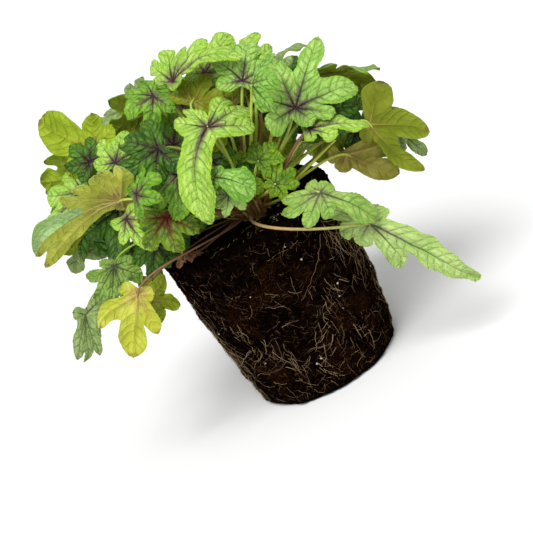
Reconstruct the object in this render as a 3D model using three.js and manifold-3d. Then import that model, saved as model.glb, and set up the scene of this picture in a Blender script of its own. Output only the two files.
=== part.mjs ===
// Heuchera plant lifted out of its pot: a mound of lobed leaves on long stalks, growing
// from a crown on top of a bare, tapered root ball. Millimetres, +Z up; the origin is the
// middle of the root ball's flat foot.

import * as THREE from 'three';
import { mergeVertices } from 'three/addons/utils/BufferGeometryUtils.js';
import Module from 'manifold-3d';

const wasm = await Module();
wasm.setup();

const DEG = Math.PI / 180;
const CLEARANCE = 0.3; // least gap between two pieces
const UP = new THREE.Vector3(0, 0, 1);

// Root ball
const BALL_HEIGHT = 120;
const BALL_TOP_RADIUS = 62.5;
const BALL_FOOT_RADIUS = 50.5;
const BALL_SIDES = 48;
const FOOT_ROUND = 3; // rounding where the side meets the flat foot
const RIM_ROUND = 2.5; // rounding where the side meets the soil
const SOIL_DIP = 2.5; // how far the soil sinks from the rim to the middle
const LUMP = 1.1; // height of the lumps on the side
const CRUMBLED_RIM = { azimuth: 12, spread: 34, depth: 7, reach: 0.55 };
const ROOT_COUNT = 12;
const ROOT_RADIUS = 0.95;

// Crown: the woody base that every leaf stalk grows from
const CROWN = { x: 6, y: -10, radius: 12, height: 22, sunk: 6 };
const SOIL_LEVEL = BALL_HEIGHT - SOIL_DIP;

// Leaves
const BLADE_THICKNESS = 0.8;
const KEEL = 0.16; // rise of the blade per mm away from a lobe's midrib
const RIPPLE = 0.9; // height of the waves at a lobe's edge
const STALK_SIDES = 3;
const STALK_STEPS = 5;
const STALK_RADIUS = 1.25;
const STALK_SPACING = 17 * DEG; // least angle between stalk bases on the crown

// Leaf joints and tips are set out as [right, rise, near] from the middle of the soil, in
// the frame of someone who looks at the plant from in front and SIGHT_TILT degrees above.
const SIGHT_TILT = 17 * DEG;
const RISE = new THREE.Vector3(0, Math.sin(SIGHT_TILT), Math.cos(SIGHT_TILT));
const NEAR = new THREE.Vector3(0, -Math.cos(SIGHT_TILT), Math.sin(SIGHT_TILT));

// Blade outlines as fractions of the main lobe: each lobe is [angle, length, half width],
// given for one side; gaps are the radii of the bays between lobes, the last at the stalk.
const OUTLINES = {
  palm: { lobes: [[0, 1, 0.26], [50, 0.86, 0.24], [102, 0.68, 0.22]], gaps: [0.58, 0.48, 0.14] },
  broad: { lobes: [[0, 1, 0.26], [50, 0.88, 0.23], [104, 0.7, 0.2]], gaps: [0.56, 0.48, 0.14] },
  long: { lobes: [[0, 1, 0.17], [42, 0.56, 0.15], [98, 0.42, 0.14]], gaps: [0.34, 0.28, 0.1] },
  oar: { lobes: [[0, 1, 0.3], [62, 0.56, 0.2], [112, 0.44, 0.17]], gaps: [0.42, 0.32, 0.1] },
  fan: {
    lobes: [[0, 1, 0.26], [46, 0.94, 0.25], [92, 0.8, 0.23], [136, 0.5, 0.18]],
    gaps: [0.64, 0.58, 0.44, 0.14],
    margin: 'blunt',
  },
};
// Blades with a shape of their own, lobe by lobe from one side of the stalk round to the
// other: [angle, length, half width, radius of the bay after it, margin if not the usual]
const SHAPES = {
  front_leaf_1: [[-142, 0.34, 0.11, 0.24], [-98, 0.34, 0.11, 0.22], [0, 1, 0.17, 0.2],
    [101, 0.5, 0.15, 0.3], [135, 0.64, 0.14, 0.42], [163, 0.58, 0.12, 0.16]],
  left_leaf_2: [[-70, 0.14, 0.1, 0.12], [0, 1, 0.1, 0.74], [12, 0.97, 0.19, 0.4],
    [40, 0.5, 0.15, 0.35], [65, 0.4, 0.13, 0.3], [90, 0.37, 0.12, 0.28], [114, 0.38, 0.12, 0.29],
    [138, 0.44, 0.13, 0.08]],
  right_leaf_6: [[-86, 0.24, 0.12, 0.16], [-36, 0.5, 0.13, 0.3], [0, 1, 0.17, 0.26],
    [40, 0.4, 0.13, 0.18], [92, 0.26, 0.12, 0.1]],
  right_leaf_4: [[-112, 0.3, 0.16, 0.2], [-80, 0.5, 0.16, 0.36], [-47, 0.83, 0.18, 0.5],
    [0, 1, 0.14, 0.48], [40, 0.68, 0.2, 0.44], [86, 0.56, 0.22, 0.36], [136, 0.42, 0.2, 0.14]],
  right_leaf_1: [[-100, 0.5, 0.2, 0.36], [-50, 0.74, 0.25, 0.56], [0, 1, 0.3, 0.56],
    [50, 0.78, 0.24, 0.4], [102, 0.56, 0.2, 0.14]],
  front_leaf_2: [[-74, 0.3, 0.16, 0.26], [0, 1, 0.36, 0.26], [74, 0.3, 0.16, 0.14]],
  left_leaf_11: [[-96, 0.36, 0.15, 0.26], [-57, 0.72, 0.21, 0.5], [-25, 0.9, 0.16, 0.7],
    [0, 1, 0.15, 0.7], [24, 0.92, 0.17, 0.5], [72, 0.74, 0.23, 0.4], [112, 0.46, 0.16, 0.14]],
  top_leaf_1: [[-50, 0.24, 0.1, 0.2], [0, 1, 0.14, 0.45], [30, 0.64, 0.14, 0.33],
    [64, 0.47, 0.1, 0.33], [92, 0.58, 0.14, 0.36], [127, 0.5, 0.14, 0.24], [163, 0.32, 0.12, 0.1]],
  left_leaf_12: [[-100, 0.26, 0.14, 0.2], [-34, 0.7, 0.14, 0.5], [0, 1, 0.23, 0.5],
    [52, 0.78, 0.16, 0.22], [105, 0.3, 0.14, 0.1]],
  left_leaf_14: [[-105, 0.27, 0.12, 0.2], [-15, 0.98, 0.15, 0.76], [0, 1, 0.1, 0.68],
    [16, 0.88, 0.15, 0.3], [130, 0.6, 0.13, 0.12]],
  right_leaf_14: [[-150, 0.68, 0.13, 0.53], [-126, 0.72, 0.13, 0.366], [-90, 0.58, 0.15, 0.276],
    [-42, 0.42, 0.16, 0.27], [0, 1, 0.18, 0.161], [70, 0.22, 0.12, 0.15],
    [160, 0.27, 0.14, 0.12]],
  right_leaf_15: [[-158, 0.4, 0.12, 0.22], [-121, 0.28, 0.14, 0.17], [-79, 0.22, 0.12, 0.16],
    [-20, 0.47, 0.12, 0.34], [0, 1, 0.13, 0.12, 'taper'], [105, 0.17, 0.1, 0.08]],
  right_leaf_8: [[-126, 0.62, 0.27, 0.4], [-47, 0.81, 0.2, 0.43], [0, 1, 0.12, 0.18],
    [60, 0.25, 0.1, 0.1]],
  right_leaf_9: [[-42, 0.95, 0.24, 0.66], [0, 1, 0.22, 0.26], [90, 0.34, 0.18, 0.22],
    [155, 0.38, 0.22, 0.12]],
};
const BAY_REACH = 0.64; // most of the shorter lobe that a bay may take
const CLOSE_REACH = 0.76; // the same between lobes that stand close
const CLOSE_LOBES = 26; // degrees between lobes so close that only their ends are free
// Margin of half a lobe from bay to tip: [place along the lobe, part of its half width]
const MARGINS = {
  main: [[0.54, 0.94], [0.72, 1.08], [0.8, 0.86], [0.94, 0.6]],
  side: [[0.64, 1.06], [0.8, 0.86], [0.92, 0.6]],
  last: [[0.78, 0.95]],
  blunt: [[0.7, 0.95], [0.92, 0.6]],
  ends: [[0.8, 0.85], [0.94, 0.42]],
  taper: [[0.4, 1], [0.66, 0.74], [0.9, 0.36]],
};

// Colours of the leaves as they lie: bright, mid and dark upper sides, dull grey-green
// ones, olive and yellow-green undersides, and fresh young leaves
const GREEN = {
  bright: 0x8fc24a,
  mid: 0x6fa53f,
  dark: 0x3f6b32,
  grey: 0x7f9a68,
  olive: 0x8c9a2c,
  yellow: 0xb4bf3f,
  young: 0x5f9a22,
  dead: 0x6f4c2f,
};

// Every leaf in view from the front: name, outline, colour, joint, tip, turn, bend, cup.
// Turn 0 shows the upper side to the front, 180 the underside. Bend is how far the main
// lobe arches over its length, cup how steeply the side lobes rise from the joint. A leaf's
// own trim shortens single lobes, counted from the main lobe to the two sides; its bow is
// how far the blade curves to one side halfway to the tip.
const LEAVES = [
  ['front_leaf_1', 'own', 'bright', [5.5, 52.5, 62], [-24, 6, 80], 0, 60, 10, { bow: -0.1 }],
  ['left_leaf_2', 'own', 'olive', [-61.5, 41.5, 45], [-124, 29, 25], 148, 28, 0, { bow: 0.06 }],
  ['right_leaf_4', 'own', 'bright', [57, 37.5, 50], [90.5, 69.5, 38], -4, 18, 4],
  ['right_leaf_8', 'own', 'olive', [93.5, 7.5, 30], [104, -35, 24], 175, 22, 0],
  ['top_leaf_1', 'own', 'bright', [1, 89, 30], [43.5, 81, 45], -35, 35, 30, { bow: 0.14 }],
  ['left_leaf_12', 'own', 'yellow', [-80, -13, 48], [-103, -43.5, 45], 178, 16, 0],
  ['right_leaf_14', 'own', 'bright', [44, -13, 74], [67.5, -42.5, 72], -12, 34, -14],
  ['right_leaf_15', 'own', 'bright', [61, -43.5, 62], [93, -110, 54], 22, 30, -10,
    { first: [-8, -10, 80], second: [30, -32, 77], fold: 0.3, bow: 0.09 }],
  ['left_leaf_1', 'broad', 'dark', [-26, 56, 55], [-54.5, 52.5, 52], 18, 25, 14],
  ['right_leaf_1', 'own', 'bright', [38, 68, 45], [54, 88.5, 31], -8, 20, 5],
  ['front_leaf_2', 'own', 'bright', [-5.5, 24.5, 70], [13, 8, 80], -12, 70, 5],
  ['front_leaf_4', 'broad', 'young', [-41.5, 18.5, 60], [-46.5, -3.5, 68], 0, 30, 8],
  ['left_leaf_11', 'own', 'mid', [-85, 9, 38], [-98.5, -13, 40], 8, 22, 4],
  ['front_leaf_5', 'fan', 'young', [24.5, 4, 50], [42, 6.5, 48], -18, 14, 12],
  ['left_leaf_5', 'oar', 'olive', [-61, 77, 26], [-86, 107, 14], 182, 18, 0],
  ['right_leaf_9', 'own', 'olive', [74, -2, 16], [94.5, -29.5, 12], 195, 18, 0],
  ['left_leaf_4', 'broad', 'dark', [-66.5, 70.5, 38], [-73, 87, 30], 0, 20, 5],
  ['top_leaf_2', 'broad', 'mid', [-13.5, 86.5, 32], [-35, 84, 38], 28, 30, 15],
  ['right_leaf_6', 'own', 'bright', [58, 22.5, 50], [91.5, 8.5, 46], -48, 30, 0],
  ['right_leaf_3', 'fan', 'bright', [41, 61, 60], [55, 55, 68], -10, 75, -5],
  ['left_leaf_9', 'long', 'bright', [-63.5, 30, 52], [-59.5, 4, 58], 10, 30, 10],
  ['front_leaf_3', 'fan', 'bright', [-3, 12, 60], [-10, 1, 68], 5, 40, 10],
  ['front_leaf_7', 'broad', 'mid', [-50, 38, 66], [-28, 42, 64], -40, 30, 5],
  ['front_leaf_6', 'palm', 'mid', [-23, 37, 50], [-34.5, 7.5, 57], 12, 35, 0],
  ['left_leaf_3', 'long', 'bright', [-82, 60, 12], [-129, 39, 3], 35, 40, 0],
  ['right_leaf_2', 'long', 'grey', [54, 66, 42], [83, 71, 30], -62, 50, 5],
  ['right_leaf_5', 'palm', 'dark', [67, 31, 34], [92, 20.5, 28], -15, 25, 0],
  ['left_leaf_14', 'own', 'grey', [-117, -8.5, 25], [-129.5, -36, 22], 12, 30, 10],
  ['left_leaf_6', 'palm', 'olive', [-76, 71, 10], [-106, 77, 0], 150, 22, 0],
  ['left_leaf_7', 'palm', 'olive', [-82, 66, -16], [-113, 60, -26], 125, 25, 0],
  ['left_leaf_8', 'palm', 'bright', [-53, 62, 46], [-39, 77, 40], -15, 20, 0],
  ['right_leaf_7', 'palm', 'olive', [80, 51, 12], [119, 18.5, 0], -108, 35, 0],
  ['top_leaf_3', 'oar', 'bright', [21.5, 86, 12], [47.5, 101, 5], -25, 25, 5],
  ['top_leaf_7', 'broad', 'olive', [-18, 82, 16], [-51, 84, 8], 138, 30, 0],
  ['top_leaf_6', 'palm', 'grey', [-32, 93, -4], [-58, 90, -8], 55, 45, 0],
  ['top_leaf_5', 'broad', 'grey', [-22, 92, 4], [-27, 106, -6], -20, 30, 5],
  ['top_leaf_4', 'broad', 'olive', [5.5, 72.5, 36], [25, 85, 26], 165, 25, 0],
  ['left_leaf_10', 'palm', 'dark', [-67, 40, 34], [-84.5, 9, 30], 25, 30, 0],
  ['left_leaf_13', 'palm', 'olive', [-78, -19, 36], [-61.5, -30, 32], 165, 15, 0],
  ['dead_leaf', 'palm', 'dead', [-42, -7, 29.5], [-51.5, -10, 36.5], 0, 40, -10, { toward: UP }],
  ['left_leaf_15', 'palm', 'dark', [-92, 42, 6], [-90, 17.5, 8], 15, 30, 0],
  ['left_leaf_16', 'palm', 'grey', [-99, 38, 0], [-115, 17, 0], 45, 40, 0],
  ['front_leaf_8', 'broad', 'young', [22.5, 21, 33], [37, 26, 28], -25, 25, 5],
  ['right_leaf_11', 'palm', 'dark', [86, 8, 18], [102.5, -4, 12], 0, 20, 0],
  ['right_leaf_10', 'long', 'grey', [110, -5, 6], [122, -26, 0], 20, 25, 0],
  ['right_leaf_12', 'long', 'dark', [53, 19.5, 25], [71, 10, 18], -100, 30, 0],
  ['right_leaf_13', 'broad', 'olive', [36, 28, 18], [50, 44, 8], 180, 20, 0],
];

// Leaves of the far side, in rings: first and last azimuth, distance of the joint from the
// crown's axis, its height over the soil, blade length, and fall of the blade below level
const BACK_RINGS = [
  { count: 5, from: 30, to: 136, reach: 72, height: 40, length: 44, fall: 34 },
  { count: 2, from: 58, to: 94, reach: 46, height: 64, length: 38, fall: 14 },
  { count: 3, from: 54, to: 124, reach: 80, height: 12, length: 40, fall: 42 },
];

// Repeatable variation: a number from -1 to 1 for a seed and an index
function vary(seed, index) {
  const value = Math.sin(seed * 12.9898 + index * 78.233) * 43758.5453;
  return 2 * (value - Math.floor(value)) - 1;
}

function solidOf(vertices, triangles) {
  const mesh = new wasm.Mesh({
    numProp: 3,
    vertProperties: Float32Array.from(vertices.flatMap((point) => [point.x, point.y, point.z])),
    triVerts: Uint32Array.from(triangles.flat()),
  });
  return new wasm.Manifold(mesh);
}

// A three.js geometry as a solid: shared corners merged, triangles of no area left out
function solidFromGeometry(geometry) {
  geometry.deleteAttribute('normal');
  geometry.deleteAttribute('uv');
  const merged = mergeVertices(geometry, 1e-3);
  const corners = merged.getAttribute('position');
  const vertices = [];
  for (let i = 0; i < corners.count; i += 1) {
    vertices.push(new THREE.Vector3().fromBufferAttribute(corners, i));
  }
  const triangles = [];
  for (let i = 0; i < merged.index.count; i += 3) {
    const triangle = [0, 1, 2].map((k) => merged.index.getX(i + k));
    if (new Set(triangle).size === 3) triangles.push(triangle);
  }
  return solidOf(vertices, triangles);
}

function geometryOf(solid) {
  const { vertProperties, triVerts, numProp } = solid.getMesh();
  const geometry = new THREE.BufferGeometry();
  const positions = new Float32Array((vertProperties.length / numProp) * 3);
  for (let i = 0; i < positions.length / 3; i += 1) {
    for (let k = 0; k < 3; k += 1) positions[3 * i + k] = vertProperties[numProp * i + k];
  }
  geometry.setAttribute('position', new THREE.BufferAttribute(positions, 3));
  geometry.setIndex(new THREE.BufferAttribute(Uint32Array.from(triVerts), 1));
  geometry.computeVertexNormals();
  return geometry;
}

// Closed tube of few sides along a curve, its radius going from one end value to the other
function tube(curve, startRadius, endRadius, sides, steps) {
  const frames = curve.computeFrenetFrames(steps, false);
  const vertices = [curve.getPoint(0)];
  for (let i = 0; i <= steps; i += 1) {
    const middle = curve.getPointAt(i / steps);
    const radius = startRadius + ((endRadius - startRadius) * i) / steps;
    for (let k = 0; k < sides; k += 1) {
      const angle = (2 * Math.PI * k) / sides;
      vertices.push(middle.clone()
        .addScaledVector(frames.normals[i], radius * Math.cos(angle))
        .addScaledVector(frames.binormals[i], radius * Math.sin(angle)));
    }
  }
  vertices.push(curve.getPoint(1));
  const end = vertices.length - 1;
  const triangles = [];
  for (let k = 0; k < sides; k += 1) {
    const next = (k + 1) % sides;
    triangles.push([0, 1 + next, 1 + k]);
    triangles.push([end, end - sides + k, end - sides + next]);
    for (let i = 0; i < steps; i += 1) {
      const low = 1 + i * sides;
      const high = low + sides;
      triangles.push([low + k, low + next, high + next], [low + k, high + next, high + k]);
    }
  }
  return solidOf(vertices, triangles);
}

// Root ball ---------------------------------------------------------------------------

// Lumps of the side: a few waves of different pitch round and up the ball
function lumps(azimuth, z) {
  return LUMP * (0.5 * Math.sin(5 * azimuth + z / 17) + 0.35 * Math.sin(11 * azimuth - z / 9)
    + 0.3 * Math.sin(3 * azimuth + z / 6));
}

// How far the crumbled stretch of the rim has worn back at this azimuth and height
function crumbled(azimuth, z) {
  const turn = (azimuth / DEG - CRUMBLED_RIM.azimuth + 540) % 360 - 180;
  const near = Math.exp(-((turn / CRUMBLED_RIM.spread) ** 2));
  const start = BALL_HEIGHT * CRUMBLED_RIM.reach;
  const high = Math.max(0, (z - start) / (BALL_HEIGHT - start));
  return CRUMBLED_RIM.depth * near * high ** 1.5;
}

function sideRadius(azimuth, z) {
  const taper = BALL_FOOT_RADIUS + ((BALL_TOP_RADIUS - BALL_FOOT_RADIUS) * z) / BALL_HEIGHT;
  return taper + lumps(azimuth, z) - crumbled(azimuth, z);
}

function soilHeight(radius, azimuth) {
  const part = radius / BALL_TOP_RADIUS;
  const rough = 0.7 * Math.sin(4 * azimuth + radius / 5) * part + 0.5 * Math.sin(radius / 4) * part;
  return SOIL_LEVEL + SOIL_DIP * part ** 3 + rough - crumbled(azimuth, BALL_HEIGHT) * 0.35 * part ** 4;
}

// Rings of the ball from the foot up its side and in over the soil: [radius, height]
function ballRing(azimuth) {
  const ring = [[BALL_FOOT_RADIUS * 0.55, 0], [BALL_FOOT_RADIUS - FOOT_ROUND - 1.5, 0]];
  ring.push([sideRadius(azimuth, 0) - 0.4, FOOT_ROUND]);
  const levels = 8;
  for (let i = 1; i <= levels; i += 1) {
    const z = FOOT_ROUND + ((BALL_HEIGHT - RIM_ROUND - 1 - FOOT_ROUND) * i) / levels;
    ring.push([sideRadius(azimuth, z), z]);
  }
  const rim = sideRadius(azimuth, BALL_HEIGHT) - RIM_ROUND;
  for (const part of [1, 0.82, 0.6, 0.34]) {
    ring.push([rim * part, soilHeight(rim * part, azimuth)]);
  }
  return ring;
}

function ballCore() {
  const vertices = [new THREE.Vector3(0, 0, 0)];
  for (let k = 0; k < BALL_SIDES; k += 1) {
    const azimuth = (2 * Math.PI * k) / BALL_SIDES;
    for (const [radius, z] of ballRing(azimuth)) {
      vertices.push(new THREE.Vector3(radius * Math.cos(azimuth), radius * Math.sin(azimuth), z));
    }
  }
  vertices.push(new THREE.Vector3(0, 0, SOIL_LEVEL));
  const rings = ballRing(0).length;
  const top = vertices.length - 1;
  const triangles = [];
  for (let k = 0; k < BALL_SIDES; k += 1) {
    const here = 1 + k * rings;
    const next = 1 + ((k + 1) % BALL_SIDES) * rings;
    triangles.push([0, next, here], [top, here + rings - 1, next + rings - 1]);
    for (let i = 0; i < rings - 1; i += 1) {
      triangles.push([here + i, next + i, next + i + 1], [here + i, next + i + 1, here + i + 1]);
    }
  }
  return solidOf(vertices, triangles);
}

// One root that winds down the side, half sunk in the soil
function sideRoot(index) {
  const start = (360 / ROOT_COUNT) * index * DEG + 0.15 * vary(3, index);
  const from = 62 + 40 * vary(5, index);
  const length = 30 + 12 * vary(7, index);
  const lean = 0.22 * vary(11, index);
  const points = [];
  for (let i = 0; i <= 5; i += 1) {
    const z = Math.max(7, from - (length * i) / 5);
    const azimuth = start + (lean * i) / 5 + 0.035 * Math.sin(2.1 * i + index);
    const radius = sideRadius(azimuth, z) - 0.15;
    points.push(new THREE.Vector3(radius * Math.cos(azimuth), radius * Math.sin(azimuth), z));
  }
  return tube(new THREE.CatmullRomCurve3(points), ROOT_RADIUS, ROOT_RADIUS * 0.6, 3, 5);
}

function crownHole() {
  const radius = CROWN.radius + CLEARANCE;
  const depth = CROWN.sunk + CLEARANCE;
  const hole = new THREE.CylinderGeometry(radius, radius, depth + 12, 24);
  hole.rotateX(Math.PI / 2);
  hole.translate(CROWN.x, CROWN.y, SOIL_LEVEL - depth + (depth + 12) / 2);
  return solidFromGeometry(hole);
}

function rootBall() {
  let ball = ballCore();
  for (let i = 0; i < ROOT_COUNT; i += 1) ball = ball.add(sideRoot(i));
  return ball.subtract(crownHole());
}

// Crown -------------------------------------------------------------------------------

// Point of the crown's dome in a direction, and the direction square to the dome there
function crownPoint(direction) {
  return new THREE.Vector3(
    CROWN.x + CROWN.radius * direction.x,
    CROWN.y + CROWN.radius * direction.y,
    SOIL_LEVEL + CROWN.height * direction.z,
  );
}

function crownNormal(direction) {
  return new THREE.Vector3(
    direction.x / CROWN.radius,
    direction.y / CROWN.radius,
    direction.z / CROWN.height,
  ).normalize();
}

function crown() {
  const profile = [new THREE.Vector2(0, -CROWN.sunk), new THREE.Vector2(CROWN.radius, -CROWN.sunk)];
  const steps = 7;
  for (let i = 0; i <= steps; i += 1) {
    const angle = (i / steps) * 90 * DEG;
    const radius = i === steps ? 0 : CROWN.radius * Math.cos(angle);
    profile.push(new THREE.Vector2(radius, CROWN.height * Math.sin(angle)));
  }
  const dome = new THREE.LatheGeometry(profile, 20);
  dome.rotateX(Math.PI / 2);
  dome.translate(CROWN.x, CROWN.y, SOIL_LEVEL);
  return solidFromGeometry(dome);
}

// Leaves ------------------------------------------------------------------------------

function place([right, rise, near]) {
  return new THREE.Vector3(right, 0, BALL_HEIGHT).addScaledVector(RISE, rise)
    .addScaledVector(NEAR, near);
}

// The lobes of an outline in order of angle, each with its margin, its midrib's steps, and
// the bay between it and the next lobe or the stalk
function lobesOf(outline, seed, trim) {
  const last = outline.lobes.length - 1;
  const oneSide = (side) => outline.lobes.map(([angle, length, width], i) => ({
    angle: side * angle * DEG,
    length: length * (i === 0 ? 1 : 1 + 0.08 * vary(seed, side * i)) * (trim[side * i] ?? 1),
    width,
    bay: outline.gaps[side < 0 ? i - 1 : i],
    reach: BAY_REACH,
    margin: MARGINS[i === last ? 'last' : outline.margin ?? (i === 0 ? 'main' : 'side')],
    ribs: i === 0 && !outline.margin ? [0.36, 0.7] : [0.52],
  }));
  return [...oneSide(-1).slice(1).reverse(), ...oneSide(1)];
}

function ownLobes(shape) {
  return shape.map(([angle, length, width, bay, margin], i) => {
    const close = [shape[i - 1], shape[i + 1]].some((other) => (
      other && Math.abs(other[0] - angle) < CLOSE_LOBES));
    const usual = (close && 'ends') || (angle === 0 && 'main') || (length < 0.3 ? 'last' : 'blunt');
    return {
      angle: angle * DEG,
      length,
      width,
      bay,
      reach: close && !margin ? CLOSE_REACH : BAY_REACH,
      margin: MARGINS[margin ?? usual],
      ribs: angle === 0 ? [0.36, 0.7] : [0.52],
    };
  });
}

// The flat blade, its main lobe one unit long along +X: points, triangles and rim
function flatBlade(leaf) {
  const lobes = leaf.outline === 'own'
    ? ownLobes(SHAPES[leaf.name]) : lobesOf(OUTLINES[leaf.outline], leaf.seed, leaf.trim);
  const points = [[0, 0]];
  const add = (x, y) => points.push([x, y + leaf.bow * 4 * Math.max(0, x * (1 - x))]) - 1;
  const polar = (radius, angle) => add(radius * Math.cos(angle), radius * Math.sin(angle));
  const notch = polar(lobes[lobes.length - 1].bay, Math.PI);
  const bays = [notch];
  for (let i = 0; i < lobes.length - 1; i += 1) {
    const half = (lobes[i + 1].angle - lobes[i].angle) / 2;
    const open = [0, 1].map((k) => lobes[i + k].reach * lobes[i + k].length);
    const radius = Math.min(lobes[i].bay, Math.min(...open) / Math.cos(half));
    bays.push(polar(radius, lobes[i].angle + half));
  }
  bays.push(notch);
  const faces = [];
  const rim = [];
  lobes.forEach((lobe, i) => {
    const [c, s] = [Math.cos(lobe.angle), Math.sin(lobe.angle)];
    const local = (along, across) => add(
      lobe.length * along * c - across * s,
      lobe.length * along * s + across * c,
    );
    const tip = local(1, 0);
    const ribs = lobe.ribs.map((along) => [along, local(along, 0)]);
    const flank = (side) => lobe.margin.map(([along, part]) => {
      const room = along * lobe.length * roomBeside(lobe, lobes[i + side]);
      return [along, local(along, side * Math.min(part * lobe.width, room))];
    });
    const before = flank(-1);
    const after = flank(1);
    ladder(faces, ribs, [[0.3, bays[i]], ...before], tip, false);
    ladder(faces, ribs, [[0.3, bays[i + 1]], ...after], tip, true);
    rim.push(bays[i], ...before.map(([, point]) => point), tip);
    rim.push(...after.map(([, point]) => point).reverse());
  });
  return { points, faces, rim, lobes };
}

// Widest a lobe may be, per unit from the joint, without crossing into the lobe beside it
function roomBeside(lobe, other) {
  return other ? 0.95 * Math.tan(Math.abs(other.angle - lobe.angle) / 2) : Infinity;
}

// Triangles between a lobe's midrib and one flank; both run from the joint to the tip
function ladder(faces, ribs, flank, tip, mirrored) {
  const push = (a, b, c) => faces.push(mirrored ? [a, c, b] : [a, b, c]);
  push(0, flank[0][1], ribs[0][1]);
  let rib = 0;
  let edge = 0;
  while (rib < ribs.length - 1 || edge < flank.length - 1) {
    const moveEdge = rib === ribs.length - 1
      || (edge < flank.length - 1 && flank[edge + 1][0] <= ribs[rib + 1][0]);
    if (moveEdge) {
      push(ribs[rib][1], flank[edge][1], flank[edge + 1][1]);
      edge += 1;
    } else {
      push(ribs[rib][1], flank[edge][1], ribs[rib + 1][1]);
      rib += 1;
    }
  }
  push(ribs[rib][1], flank[edge][1], tip);
}

// Directions of a leaf: along its main lobe, across it, and out of its upper side
function leafFrame(leaf) {
  const along = leaf.tip.clone().sub(leaf.joint).normalize();
  const faced = leaf.toward.clone().addScaledVector(along, -leaf.toward.dot(along)).normalize();
  const beside = along.clone().cross(faced);
  const normal = faced.multiplyScalar(Math.cos(leaf.turn))
    .addScaledVector(beside, Math.sin(leaf.turn));
  return { along, across: normal.clone().cross(along), normal };
}

// A flat point of the blade bent into place: arched over, cupped, and keeled at each midrib.
// Offset is measured square to the blade from its middle surface.
function bentPoint(leaf, frame, blade, [x, y], offset) {
  const chord = leaf.tip.distanceTo(leaf.joint);
  const length = (chord * (leaf.bend / 2)) / Math.sin(leaf.bend / 2);
  const radius = length * Math.hypot(x, y);
  const angle = Math.atan2(y, x);
  const start = (leaf.bend / 2) * Math.cos(angle) + leaf.cup * Math.sin(angle / 2) ** 2;
  const curving = leaf.bend / length;
  const slope = start - curving * radius;
  const outward = (Math.sin(start) - Math.sin(slope)) / curving;
  let height = (Math.cos(slope) - Math.cos(start)) / curving;
  const lobe = nearestLobe(blade.lobes, angle);
  const across = radius * Math.sin(Math.abs(angle - blade.lobes[lobe].angle));
  const along = radius * Math.cos(angle - blade.lobes[lobe].angle);
  const ripple = Math.sin(14 * (along / length) + leaf.seed + 1.7 * lobe);
  height += leaf.fold * across + RIPPLE * ripple * (across / (0.2 * length)) ** 2;
  const radial = frame.along.clone().multiplyScalar(Math.cos(angle))
    .addScaledVector(frame.across, Math.sin(angle));
  return leaf.joint.clone()
    .addScaledVector(radial, outward - offset * Math.sin(slope))
    .addScaledVector(frame.normal, height + offset * Math.cos(slope));
}

function nearestLobe(lobes, angle) {
  let best = 0;
  lobes.forEach((lobe, i) => {
    if (Math.abs(angle - lobe.angle) < Math.abs(angle - lobes[best].angle)) best = i;
  });
  return best;
}

function bladeSolid(leaf, frame) {
  const blade = flatBlade(leaf);
  const half = BLADE_THICKNESS / 2;
  const upper = blade.points.map((point) => bentPoint(leaf, frame, blade, point, half));
  const lower = blade.points.map((point) => bentPoint(leaf, frame, blade, point, -half));
  const shift = upper.length;
  const triangles = [];
  for (const [a, b, c] of blade.faces) {
    triangles.push([a, b, c], [c + shift, b + shift, a + shift]);
  }
  blade.rim.forEach((point, i) => {
    const next = blade.rim[(i + 1) % blade.rim.length];
    triangles.push([point, point + shift, next + shift], [point, next + shift, next]);
  });
  return solidOf([...upper, ...lower], triangles);
}

// The stalk rises square to the crown and comes in to the joint from below and behind
function stalkCurve(leaf, frame) {
  const normal = crownNormal(leaf.base);
  const foot = crownPoint(leaf.base).addScaledVector(normal, CLEARANCE + 0.1);
  const reach = foot.distanceTo(leaf.joint);
  const first = leaf.first?.clone() ?? foot.clone().addScaledVector(normal, 0.42 * reach);
  const arrival = frame.along.clone().multiplyScalar(0.75).addScaledVector(frame.normal, 0.6);
  const second = leaf.second?.clone() ?? leaf.joint.clone().addScaledVector(arrival, -0.3 * reach);
  const beside = leaf.joint.clone().sub(foot).cross(UP).normalize();
  first.addScaledVector(beside, leaf.sway);
  second.addScaledVector(beside, leaf.sway);
  return new THREE.CubicBezierCurve3(foot, first, second, leaf.joint);
}

function leafSolid(leaf) {
  const frame = leafFrame(leaf);
  const stalk = tube(stalkCurve(leaf, frame), STALK_RADIUS * 1.25, STALK_RADIUS, STALK_SIDES, STALK_STEPS);
  return bladeSolid(leaf, frame).add(stalk);
}

function frontLeaves() {
  return LEAVES.map(([name, outline, colour, joint, tip, turn, bend, cup, own = {}], i) => ({
    name,
    outline,
    colour,
    joint: place(joint),
    tip: place(tip),
    first: own.first && place(own.first),
    second: own.second && place(own.second),
    toward: own.toward ?? NEAR,
    parting: NEAR,
    turn: turn * DEG,
    bend: bend * DEG,
    cup: cup * DEG,
    fold: own.fold ?? KEEL,
    trim: own.trim ?? {},
    bow: own.bow ?? 0,
    seed: i + 1,
  }));
}

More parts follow.
